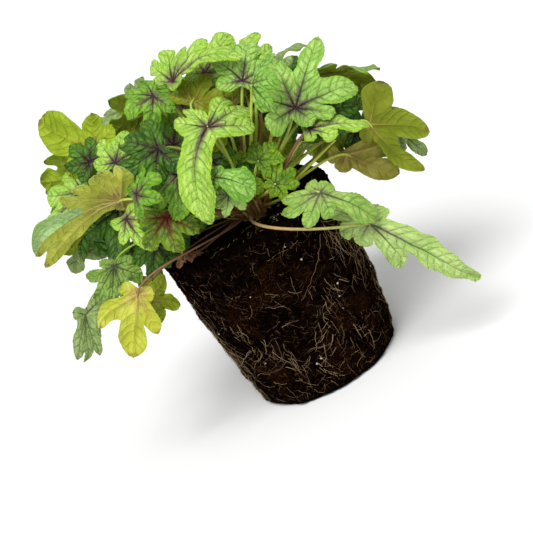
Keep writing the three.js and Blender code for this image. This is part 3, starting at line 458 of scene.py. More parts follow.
def half_outlines(lobes):
    """Each half lobe: number of its lobe, side, radius of its bay, and line from bay to tip."""
    radii, angles = [lobes[-1].bay], [math.pi]
    for one, other in zip(lobes, lobes[1:]):
        half = (other.angle - one.angle) / 2
        open_to = min(lobe.reach * lobe.length for lobe in (one, other))
        radii.append(min(one.bay, open_to / math.cos(half)))
        angles.append(one.angle + half)
    radii.append(lobes[-1].bay)
    angles.append(math.pi)
    outlines = []
    for i, lobe in enumerate(lobes):
        for side in (-1, 1):
            bay = i if side < 0 else i + 1
            other = lobes[i + side] if 0 <= i + side < len(lobes) else None
            room = 0.95 * math.tan(abs(other.angle - lobe.angle) / 2) if other else math.inf
            turn = abs(angles[bay] - lobe.angle) if other else math.pi - abs(lobe.angle)
            line = [[radii[bay] * math.cos(turn), radii[bay] * math.sin(turn)]]
            for along, part in lobe.margin:
                reach = along * lobe.length
                line.append([reach, min(part * lobe.width, reach * room)])
            line.append([lobe.length, 0])
            outlines.append((i, side, radii[bay], smooth_margin(line)))
    return outlines


def held(leaf, i, key):
    """How a lobe is held: its lean to a side, its turn about the midrib and its fall."""
    sweep = leaf.sweep.get(key, SWEEP * vary(leaf.seed, 50 + i))
    twist = leaf.twist.get(key, TWIST * vary(leaf.seed, 90 + i) * (0.5 if key == 0 else 1))
    usual = 0.2 * DROOP if key == 0 else DROOP * (0.4 + 1.1 * vary(leaf.seed, 70 + i))
    return sweep, twist, leaf.droop.get(key, usual)


def flat_blade(leaf, length):
    """The flat blade by halves of lobes: points in main-lobe units, and how each is held."""
    lobes, columns = lobes_of(leaf), leaf.columns
    middle = [lobe.angle for lobe in lobes].index(0)
    outlines = half_outlines(lobes)
    for i, side, radius, line in outlines:
        lobe, key = lobes[i], i - middle
        pair = outlines[2 * i:2 * i + 2]
        rows = 0
        for _, _, bay, margin in pair:
            run = np.linalg.norm(np.diff(margin, axis=0), axis=1).sum()
            rows = max(rows, math.ceil((bay + run) * length / leaf.pitch))
        root = max(0.3 * lobe.length, *(margin[0][0] for _, _, _, margin in pair))
        sweep, twist, fall = held(leaf, i, key)
        inner = max(3, round(radius * length / leaf.pitch / 1.3))
        edge = toothed(line, rows - inner, length, leaf.seed + 3.1 * i + side, leaf.tooth)
        start = np.linspace(0, 1, inner, endpoint=False)[:, None] * line[0]
        edge = np.vstack([start, edge])
        rib = np.stack([lobe.length * np.linspace(0, 1, rows + 1), np.zeros(rows + 1)], axis=1)
        grid = rib[:, None, :] + columns[None, :, None] * (edge - rib)[:, None, :]
        free = smooth((np.arange(rows + 1) - inner + 2) / 4)[:, None] * np.ones(len(columns))
        past = np.maximum(0, grid[..., 0] - root)
        lean = sweep * lobe.length * (past / (lobe.length - root)) ** 2
        drop = np.clip(fall * (past * length) ** 2, -MOST_DROOP, MOST_DROOP)
        drop += twist * side * grid[..., 1] * length * smooth(past * length / 9)
        yield key, lobe, side, grid, free, lean, drop


def branching(along, across, lobe, length, seed):
    """Phase of the side veins at places of half a lobe, and the millimetres in a turn of it."""
    reach = lobe.length * length
    curve = VEIN_CURVE / (lobe.width * length)
    part = (along - VEIN_LEAN * across - curve * across**2) / reach
    count = max(3.4, reach / VEIN_GAP)
    wave = 2.3 * count
    phase = count * part * (1 + 0.25 * part) + 0.22 * np.sin(wave * part + seed)
    rate = count * (1 + 0.5 * part) + 0.22 * wave * np.cos(wave * part + seed)
    slant = np.hypot(1, VEIN_LEAN + 2 * curve * across)
    return phase + 0.5 * vary(seed, 3), reach / np.maximum(rate, 1) / slant


def quilt(phase, turn, across):
    """Height of the blade's relief over its middle surface: sunken veins, raised cells."""
    away = np.abs(phase - np.round(phase)) * turn
    cells = 0.5 * smooth(away / 2.2) * smooth(across / 2.6)
    return cells - 0.4 * np.exp(-((across / 1.1) ** 2))


def swell(x, y, seed):
    """Slow rise and fall of a blade, different on each leaf."""
    turn = 2.4 * seed
    u = x * math.cos(turn) + y * math.sin(turn)
    v = y * math.cos(turn) - x * math.sin(turn)
    return (1.6 * np.sin(u / 6.3 + seed) * np.cos(v / 8.1 + 2 * seed)
            + 0.6 * np.sin(u / 3.3 + 3 * seed) * np.sin(v / 3.9 + seed))


def leaf_axes(leaf):
    along = unit(leaf.tip - leaf.joint)
    faced = unit(leaf.toward - along * np.dot(leaf.toward, along))
    beside = np.cross(along, faced)
    normal = faced * math.cos(leaf.turn) + beside * math.sin(leaf.turn)
    return along, np.cross(normal, along), normal


def laid_out(leaf, length):
    """The flat blade whole: places, eight facts and the lobe's number at each, and triangles."""
    flat, local, numbers, faces = [], [], [], []
    total = 0
    for number, lobe, side, grid, free, lean, fall in flat_blade(leaf, length):
        rows, columns = grid.shape[:2]
        cos, sin = math.cos(lobe.angle), math.sin(lobe.angle)
        a, c = grid[..., 0].ravel(), grid[..., 1].ravel()
        beside = side * c + lean.ravel()
        flat.append(np.stack([a * cos - beside * sin, a * sin + beside * cos], axis=1))
        phase, turn = branching(a * length, c * length, lobe, length,
                                leaf.seed + 5.7 * number + side)
        edge = np.tile(leaf.columns, rows) * free.ravel()
        local.append(np.stack([a * length, c * length, a / lobe.length, edge,
                               np.full(a.size, side), phase, turn, fall.ravel()], axis=1))
        numbers.append(np.full(a.size, number))
        corner = total + np.arange((rows - 1) * columns).reshape(rows - 1, columns)[:, :-1].ravel()
        quad = np.stack([corner, corner + columns, corner + columns + 1, corner + 1], axis=1)
        if side < 0:
            quad = quad[:, ::-1]
        faces.append(np.vstack([quad[:, [0, 1, 2]], quad[:, [0, 2, 3]]]))
        total += a.size
    flat, local, numbers, faces = map(np.concatenate, (flat, local, numbers, faces))
    flat[:, 1] += leaf.bow * 4 * np.maximum(0, flat[:, 0] * (1 - flat[:, 0]))
    return flat, local, numbers, faces


def relief(height, leaf, length, x, y, facts, number):
    """The height of a bent blade with its keel, lobes, ripples, swells and cells added."""
    a, c, _, edge, _, phase, turn, fall = facts
    radius = length * np.hypot(x, y)
    seed = leaf.seed
    height = height + (leaf.fold * c - leaf.roll * np.minimum(c, 9) ** 2 - fall)
    height += RIPPLE * np.sin(14 * a / length + seed + 1.7 * number) * (c / (0.2 * length)) ** 2
    height += swell(x * length, y * length, seed) * smooth(radius / 14)
    height += quilt(phase, turn, c) * smooth(radius / 4) * (1 - edge**3)
    height += 0.55 * edge**3 * np.sin(a / 2.3 + 2.3 * number + seed)
    if leaf.crumple:
        height += leaf.crumple * (np.sin(x * length / 2.7 + 1) * np.cos(y * length / 2.1)
                                  + 0.6 * np.sin(y * length / 1.3 + x * length / 1.7))
    return height


def blade(leaf):
    """Points, triangles, parts and corner facts of one blade with its thickness."""
    chord = np.linalg.norm(leaf.tip - leaf.joint)
    length = chord * (leaf.bend / 2) / math.sin(leaf.bend / 2)
    curving = leaf.bend / length
    along_dir, across_dir, normal = leaf_axes(leaf)
    flat, local, numbers, faces = laid_out(leaf, length)
    _, first, same = np.unique(np.round(flat * length, 4), axis=0, return_index=True,
                               return_inverse=True)
    merged = same.ravel()[faces]
    whole = (merged != np.roll(merged, 1, axis=1)).all(axis=1)
    faces, merged = faces[whole], merged[whole]
    x, y = flat[first].T
    facts = local[first].T
    _, c, reach, *_ = facts
    radius = length * np.hypot(x, y)
    angle = np.arctan2(y, x)
    start = (leaf.bend / 2) * np.cos(angle) + leaf.cup * np.sin(angle / 2) ** 2
    slope = start - curving * radius
    outward = (np.sin(start) - np.sin(slope)) / curving
    height = (np.cos(slope) - np.cos(start)) / curving
    height = relief(height, leaf, length, x, y, facts, numbers[first])
    radial = np.cos(angle)[:, None] * along_dir + np.sin(angle)[:, None] * across_dir
    rib = 0.4 * np.exp(-((c / 0.7) ** 2)) * smooth((1.02 - reach) / 0.8) * smooth(radius / 3)
    points = np.vstack([
        leaf.joint + radial * (outward - offset * np.sin(slope))[:, None]
        + normal * (height + offset * np.cos(slope))[:, None]
        for offset in (BLADE_THICKNESS / 2 + 0 * rib, -BLADE_THICKNESS / 2 - rib)])
    # the two sheets are joined by a rim along the edges that only one triangle has
    shift = len(first)
    edges = np.vstack([merged[:, [0, 1]], merged[:, [1, 2]], merged[:, [2, 0]]])
    open_edge = ~np.isin(edges @ (shift, 1), edges @ (1, shift))
    u, v = edges[open_edge].T
    rim = np.vstack([np.stack([v, u, u + shift], axis=1),
                     np.stack([v, u + shift, v + shift], axis=1)])
    rim_corner = np.tile(faces.T.ravel()[open_edge], 2)
    triangles = np.vstack([merged, merged[:, ::-1] + shift, rim])
    lower = np.ones(len(merged))
    if leaf.turned:
        lobe, side, begins = leaf.turned
        mean = local[faces].mean(axis=1)
        lower[(numbers[faces[:, 0]] == lobe) & (mean[:, 4] == side) & (mean[:, 2] > begins)] = 0
    kinds = np.concatenate([np.zeros(len(merged)), lower, np.zeros(len(rim))])
    sources = np.vstack([faces, faces[:, ::-1], np.repeat(rim_corner[:, None], 3, axis=1)]).ravel()
    _, c, reach, edge, side, phase, turn, _ = local[sources].T
    x, y = flat[sources].T * length
    return points, triangles, kinds, {
        "vein": np.stack([c * side, reach, edge], axis=1),
        "branch": np.stack([phase, turn, numbers[sources]], axis=1),
        "where": np.stack([x, y, np.full(len(sources), float(leaf.seed))], axis=1),
    }


def crown_point(direction):
    return CROWN_CENTRE + CROWN_REACH * direction


def crown_normal(direction):
    return unit(direction / CROWN_REACH)


def stalk_path(leaf):
    """The CAD model's stalk curve, from inside the crown to just past the joint."""
    along, _, normal = leaf_axes(leaf)
    square = crown_normal(leaf.base)
    foot = crown_point(leaf.base) + square * STALK_GAP
    reach = np.linalg.norm(leaf.joint - foot)
    first = place(leaf.first) if leaf.first else foot + 0.42 * reach * square
    arrival = 0.75 * along + 0.6 * normal
    second = place(leaf.second) if leaf.second else leaf.joint - 0.3 * reach * arrival
    sway = unit(np.cross(leaf.joint - foot, UP)) * leaf.sway
    t = np.linspace(0, 0.985, STALK_STEPS)[:, None]
    curve = ((1 - t) ** 3 * foot + 3 * (1 - t) ** 2 * t * (first + sway)
             + 3 * (1 - t) * t**2 * (second + sway) + t**3 * leaf.joint)
    ending = leaf.joint + along * 2.5 - normal * 1.1 + normal * 2.5 * math.tan(leaf.bend / 2)
    return np.vstack([foot - square * 2.5, curve, ending])


def stalk(leaf):
    path = stalk_path(leaf)
    part = np.linspace(0, 1, len(path))
    radii = STALK_RADIUS * (1.22 - 0.3 * part + 0.5 * np.exp(-((part / 0.07) ** 2)))
    radii *= leaf.stalk
    radii[-1] *= 0.35
    return tube(path, radii, STALK_SIDES)


def make_leaf(name, outline, look, joint, tip, seed, **own):
    """A leaf to grow, with the usual values for all that isn't given; angles in degrees."""
    leaf = {**USUAL_LEAF, "name": name, "outline": outline, "look": look, "joint": joint,
            "tip": tip, "seed": seed, **own}
    for angle in ("turn", "bend", "cup"):
        leaf[angle] = math.radians(leaf[angle])
    return SimpleNamespace(**leaf)


def front_leaves():
    leaves = []
    for i, (name, outline, look, joint, tip, turn, bend, cup) in enumerate(LEAVES):
        leaves.append(make_leaf(
            name, outline, look, place(joint), place(tip), i + 1, turn=turn, bend=bend, cup=cup,
            away=NEAR, **OWN_FORMS.get(name, {}), **FINE_MESH))
    return leaves


def back_leaves():
    leaves = []
    for level, ring in enumerate(BACK_RINGS):
        for i in range(ring["count"]):
            seed = 100 + 10 * level + i
            azimuth = math.radians(ring["from"] + (ring["to"] - ring["from"]) * i
                                   / (ring["count"] - 1) + 5 * vary(seed, 1))
            outward = np.array([math.cos(azimuth), math.sin(azimuth), 0])
            joint = CROWN_CENTRE + outward * ring["reach"] * (1 + 0.08 * vary(seed, 2))
            joint[2] += ring["height"] * (1 + 0.4 * ((i % 2) - 0.5) + 0.08 * vary(seed, 3))
            fall = math.radians(ring["fall"] + 8 * vary(seed, 4))
            tip = joint + outward * ring["length"] * math.cos(fall)
            tip[2] -= ring["length"] * math.sin(fall)
            leaves.append(make_leaf(
                f"back_leaf_{len(leaves) + 1}", ["palm", "broad"][i % 2],
                ["mid", "bright", "dark"][i % 3], joint, tip, seed, toward=UP,
                turn=12 * vary(seed, 5), bend=34 + 8 * vary(seed, 6), cup=4,
                away=unit(outward + UP), **BACK_MESH))
    return leaves


def inner_leaves():
    """Leaves that fill the depth of the mound, each with its stalk."""
    leaves = []
    for i, (outline, look, joint, tip, turn) in enumerate(INNER_LEAVES):
        way = unit(place(joint) - CROWN_CENTRE)
        way[2] = max(way[2], 0.35)
        leaves.append(make_leaf(
            f"inner_leaf_{i + 1}", outline, look, place(joint), place(tip), 200 + i, turn=turn,
            bend=28, cup=6, sway=4 * vary(i, 1), base=unit(way), **INNER_MESH))
    return leaves


def spread_bases(leaves):
    """Stalk bases on the crown, pushed apart as in the CAD model."""
    bases = []
    for leaf in leaves:
        way = (place(leaf.first) if leaf.first else leaf.joint) - CROWN_CENTRE
        level = math.hypot(way[0], way[1])
        rise = math.sin(0.1 + 0.85 * math.atan2(max(way[2], 4), level))
        out = math.sqrt(1 - rise * rise) / level
        bases.append([way[0] * out, way[1] * out, rise])
    for _ in range(200):
        for i, one in enumerate(bases):
            for j, other in enumerate(bases):
                dot = one[0] * other[0] + one[1] * other[1] + one[2] * other[2]
                apart = math.acos(max(-1, min(1, dot)))
                if i == j or apart >= STALK_SPACING:
                    continue
                push = [a - b for a, b in zip(one, other)]
                share = 0.25 * (STALK_SPACING - apart) / math.hypot(*push)
                one[:] = [a + b * share for a, b in zip(one, push)]
                one[2] = max(one[2], 0.16)
                size = math.hypot(*one)
                one[:] = [a / size for a in one]
    return [np.array(base) for base in bases]


def settled_leaves():
    """Leaves of the front and back, where the CAD model set them clear of their neighbours."""
    leaves = front_leaves() + back_leaves()
    for leaf, base in zip(leaves, spread_bases(leaves)):
        push, size, tilt = SETTLED.get(leaf.name, (0, 1, 0))
        leaf.base = base
        leaf.tip = leaf.joint + (leaf.tip - leaf.joint) * size + leaf.away * (push + tilt)
        leaf.joint = leaf.joint + leaf.away * push
    return leaves


# Materials ---------------------------------------------------------------------------


def linear(red, green, blue):
    """A screen colour, 0 to 255, as the linear colour that a shader takes."""
    def one(value):
        value /= 255
        return value / 12.92 if value <= 0.04045 else ((value + 0.055) / 1.055) ** 2.4
    return (one(red), one(green), one(blue), 1)


class Value:
    """A socket that a material reads, with the sums that are done on it."""

    def __init__(self, paint, socket):
        self.paint = paint
        self.socket = socket

    def __add__(self, other):
        return self.paint.math("ADD", self, other)

    def __sub__(self, other):
        return self.paint.math("SUBTRACT", self, other)

    def __mul__(self, other):
        return self.paint.math("MULTIPLY", self, other)

    def __truediv__(self, other):
        return self.paint.math("DIVIDE", self, other)

    def ramp(self, low, high, to_low=0.0, to_high=1.0):
        """Smooth step: to_low where the value is at low, to_high where it is at high."""
        return self.paint.node("ShaderNodeMapRange", "Result", {
            "Value": self, "From Min": low, "From Max": high, "To Min": to_low,
            "To Max": to_high}, interpolation_type="SMOOTHSTEP")


class Paint:
    """Short ways to build a node material round one Principled shader."""

    def __init__(self, name):
        self.material = bpy.data.materials.new(name)
        self.material.use_nodes = True
        self.tree = self.material.node_tree
        self.shader = self.tree.nodes["Principled BSDF"]

    def put(self, socket, value):
        if isinstance(value, Value):
            self.tree.links.new(value.socket, socket)
        else:
            socket.default_value = value

    def node(self, kind, output, inputs, **settings):
        """One output of a new node that has these inputs and settings."""
        node = self.tree.nodes.new(kind)
        for key, value in settings.items():
            setattr(node, key, value)
        for key, value in inputs.items():
            self.put(node.inputs[key], value)
        return Value(self, node.outputs[output])

    def math(self, operation, *values):
        return self.node("ShaderNodeMath", 0, dict(enumerate(values)), operation=operation)

    def parts(self, vector):
        first = self.node("ShaderNodeSeparateXYZ", 0, {"Vector": vector})
        return [Value(self, socket) for socket in first.socket.node.outputs]

    def mix(self, factor, a, b):
        return self.node("ShaderNodeMix", 2, {"Factor": factor, 6: a, 7: b}, data_type="RGBA")

    def noise(self, vector, scale, detail=3.0, rough=0.55):
        return self.node("ShaderNodeTexNoise", "Fac", {
            "Vector": vector, "Scale": scale, "Detail": detail, "Roughness": rough})

    def stretched(self, vector, scale):
        return self.node("ShaderNodeMapping", "Vector", {"Vector": vector, "Scale": scale})

    def warped(self, vector, scale, amount):
        """The vector shifted by noise, so that lines through it wander."""
        shift = self.node("ShaderNodeTexNoise", "Color", {
            "Vector": vector, "Scale": scale, "Detail": 2.0})
        shift = self.node("ShaderNodeVectorMath", 0, {0: shift, 1: (0.5, 0.5, 0.5)},
                          operation="SUBTRACT")
        shift = self.node("ShaderNodeVectorMath", 0, {0: shift, "Scale": amount},
                          operation="SCALE")
        return self.node("ShaderNodeVectorMath", 0, {0: vector, 1: shift}, operation="ADD")

    def lot(self, key):
        """A number from 0 to 1 for each value of the key."""
        return self.node("ShaderNodeTexWhiteNoise", "Value", {"W": key}, noise_dimensions="1D")

    def cells(self, vector, scale):
        """Distance to the nearest cell wall, in the vector's own units times scale."""
        return self.node("ShaderNodeTexVoronoi", "Distance", {"Vector": vector, "Scale": scale},
                         voronoi_dimensions="2D", feature="DISTANCE_TO_EDGE")

    def attribute(self, name, output="Vector"):
        return self.node("ShaderNodeAttribute", output, {}, attribute_name=name)

    def position(self):
        return self.node("ShaderNodeTexCoord", "Object", {})

    def bump(self, height, distance, strength=1.0):
        return self.node("ShaderNodeBump", "Normal", {
            "Height": height, "Distance": distance, "Strength": strength})

    def finish(self, color, roughness, normal, specular):
        self.put(self.shader.inputs["Base Color"], color)
        self.put(self.shader.inputs["Roughness"], roughness)
        self.put(self.shader.inputs["Normal"], normal)
        self.shader.inputs["Specular IOR Level"].default_value = specular
        return self.material


def vein_facts(paint):
    """What the veins of a blade are drawn from, read from its mesh."""
    signed, reach, edge = paint.parts(paint.attribute("vein"))
    phase, turn, number = paint.parts(paint.attribute("branch"))
    where = paint.attribute("where")
    across = paint.math("ABSOLUTE", signed)
    phase += (paint.noise(where, 0.22, 2.0) - 0.5) * 0.32 * across.ramp(0.5, 4.0)
    away = paint.math("PINGPONG", phase, 0.5) * turn
    side = paint.math("SIGN", signed)
    lot = paint.lot(paint.math("ROUND", phase) + number * 17.3 + side * 5.9)
    # short veins across the strip between two side veins, like the rungs of a ladder
    strip = paint.lot(paint.math("FLOOR", phase) + number * 11.9 + side * 4.3)
    gap = strip.ramp(0.0, 1.0, 3.0, 4.8)
    rung = (across + paint.noise(where, 0.5, 2.0) * 3.2) / gap + strip * 7.0
    rung = paint.math("PINGPONG", rung, 0.5) * gap
    lobe = paint.lot(number * 7.7 + paint.parts(where)[2] * 3.1)
    return SimpleNamespace(
        across=across, reach=reach, edge=edge, where=where, away=away, rung=rung,
        inked=reach / lobe.ramp(0.0, 1.0, 0.65, 1.3),
        lot=lot.ramp(0.05, 0.9, 0.25, 1.0),
        bold=lobe.ramp(0.1, 0.9, 1.0, 0.5),
        cell=paint.math("MINIMUM", rung, away),
        fine=paint.cells(paint.warped(where, 0.3, 2.2), 1 / 2.1) * 2.1,
        radius=paint.node("ShaderNodeVectorMath", "Value",
                          {0: paint.stretched(where, (1, 1, 0))}, operation="LENGTH"),
    )


def worn(paint, color, v, browned):
    """The colour with a few small brown freckles, and with brown at the lobes' ends."""
    freckles = paint.noise(v.where, 1.3, 1.0).ramp(0.7, 0.76)
    freckles *= paint.noise(v.where, 0.1, 2.0).ramp(0.5, 0.62, 0.0, 0.7)
    color = paint.mix(freckles, color, linear(74, 58, 30))
    ends = v.reach.ramp(0.9, 1.0, 0.0, browned) * paint.noise(v.where, 0.35).ramp(0.4, 0.55)
    return paint.mix(ends, color, linear(112, 80, 38))


def leaf_top(name, look):
    paint = Paint(name)
    v = vein_facts(paint)
    grain = paint.noise(v.where, 0.9, 4.0)
    color = paint.mix(paint.noise(v.where, 0.09).ramp(0.36, 0.64), look.light, look.deep)
    # painted sheen: paler silvery colour on the raised cells between the veins, where their
    # highlights fall
    cell = v.cell.ramp(0.1, 0.9) * v.edge.ramp(0.5, 0.9, 1.0, 0.25)
    cell *= paint.noise(v.where, 0.3).ramp(0.35, 0.65, 0.35, 1.0)
    color = paint.mix(cell * look.bloom, color, look.silver)
    # a lime margin, partly the blade's own yellower edge and partly a painted highlight
    color = paint.mix(v.edge.ramp(0.55, 1.0, 0.0, 0.75), color, look.rim)
    color = paint.mix(grain.ramp(0.45, 0.8, 0.0, 0.2), color, look.deep)
    # small veins between the side veins
    lines = v.rung.ramp(0.05, 0.3, look.lines, 0.0) * v.across.ramp(0.8, 3.0, 0.3, 1.0)
    lines *= paint.noise(v.where, 0.35, 2.0).ramp(0.4, 0.6, 0.2, 1.0)
    color = paint.mix(lines, color, look.net)
    color = paint.mix(v.fine.ramp(0.05, 0.3, look.lines * 0.2, 0.0), color, look.net)
    # purple that lies along the midribs near the joint and dies away outwards
    inner = v.inked.ramp(0.1, look.inked, 1.0, 0.0)
    haze = (v.across / v.reach.ramp(0.0, 0.6, 4.2, 1.7)).ramp(0.15, 1.1, 1.0, 0.0)
    haze *= inner * paint.noise(v.where, 0.4, 4.0, 0.7).ramp(0.25, 0.58, 0.25, 1.0)
    streak = v.away.ramp(0.1, 1.1, 1.0, 0.0) * v.across.ramp(1.0, 6.5, 1.0, 0.0) * (inner * 0.7)
    haze = paint.math("MAXIMUM", haze, streak)
    haze = paint.math("MAXIMUM", haze, v.radius.ramp(1.0, look.hub, 0.8, 0.0))
    color = paint.mix(haze * look.smoke, color, look.haze)
    # side veins
    inked = v.inked.ramp(0.15, 0.55, 1.0, 0.0) * v.across.ramp(1.5, 7.0, 1.0, 0.1)
    ink = paint.mix(inked * look.ink, look.net, look.vein)
    fine = v.away.ramp(0.06, 0.3, 1.0, 0.0) * v.lot * v.edge.ramp(0.3, 0.85, 1.0, 0.15)
    color = paint.mix(fine * look.strength, color, ink)
    # midribs
    ink = paint.mix(v.inked.ramp(0.3, 0.75, 1.0, 0.0) * look.ink, look.net, look.vein)
    core = (v.across / v.reach.ramp(0.0, 1.0, 0.66, 0.17)).ramp(0.5, 1.4, 1.0, 0.0)
    core *= v.reach.ramp(0.45, 1.0, 1.0, 0.4)
    core *= paint.math("MAXIMUM", v.bold, v.reach.ramp(0.1, 0.4, 1.0, 0.0))
    color = paint.mix(core * look.rib, color, ink)
    color = worn(paint, color, v, 0.35)
    height = v.cell.ramp(0.0, 1.2) * 0.5 + v.fine.ramp(0.0, 0.6) * 0.15
    height = height + v.away.ramp(0.0, 0.9) * 0.2 + grain * 0.2
    return paint.finish(color, grain.ramp(0.2, 0.8, 0.34, 0.48), paint.bump(height, 0.0011), 0.24)


def leaf_under(name, look):
    paint = Paint(name)
    v = vein_facts(paint)
    grain = paint.noise(v.where, 1.1, 4.0)
    color = paint.mix(paint.noise(v.where, 0.07).ramp(0.36, 0.64), look.light, look.deep)
    color = paint.mix(v.edge.ramp(0.5, 1.0, 0.0, look.margin), color, look.rim)
    color = paint.mix(grain.ramp(0.4, 0.8, 0.0, 0.2), color, look.deep)
    color = paint.mix(v.rung.ramp(0.06, 0.3, look.lines, 0.0), color, look.net)
    color = paint.mix(v.fine.ramp(0.05, 0.3, look.lines * 0.3, 0.0), color, look.net)
    fine = v.away.ramp(0.08, 0.34, 1.0, 0.0) * v.lot * v.edge.ramp(0.6, 1.0, 1.0, 0.2)
    color = paint.mix(fine * look.strength, color, look.net)
    # brownish purple round the joint and along the midribs
    beside = v.across.ramp(0.4, look.spread, 1.0, 0.0) * v.inked.ramp(0.15, look.run, 0.9, 0.0)
    smoke = paint.math("MAXIMUM", v.radius.ramp(2.0, look.hub, 1.0, 0.0), beside)
    smoke *= paint.noise(v.where, 0.3, 4.0, 0.7).ramp(0.25, 0.65, 0.25, 1.0)
    color = paint.mix(smoke * look.smoke, color, look.haze)
    core = (v.across / v.reach.ramp(0.0, 0.9, 0.5, 0.14)).ramp(0.6, 1.4, 1.0, 0.0)
    core = core * v.inked.ramp(0.1, 0.8, 0.9, 0.12) * v.bold.ramp(0.5, 1.0, 0.35, 1.0)
    color = worn(paint, paint.mix(core, color, look.vein), v, 0.8)
    height = v.cell.ramp(0.0, 0.8, 1.0, 0.0) * 0.6 + v.away.ramp(0.0, 0.7, 1.0, 0.0) * 0.4
    return paint.finish(color, 0.5, paint.bump(height + grain * 0.25, 0.0005, 0.8), 0.16)


def stalk_paint(name, foot, middle, top):
    paint = Paint(name)
    part = paint.attribute("part", "Fac")
    streaks = paint.noise(paint.stretched(paint.position(), (900, 900, 90)), 1.0)
    color = paint.mix(part.ramp(0.03, 0.28), linear(*foot), linear(*middle))
    color = paint.mix(part.ramp(0.45, 0.95), color, linear(*top))
    dark = paint.mix(0.55, color, linear(40, 25, 15))
    color = paint.mix(streaks.ramp(0.45, 0.8, 0.0, 0.6), color, dark)
    return paint.finish(color, 0.5, paint.bump(streaks, 0.0003, 0.6), 0.2)


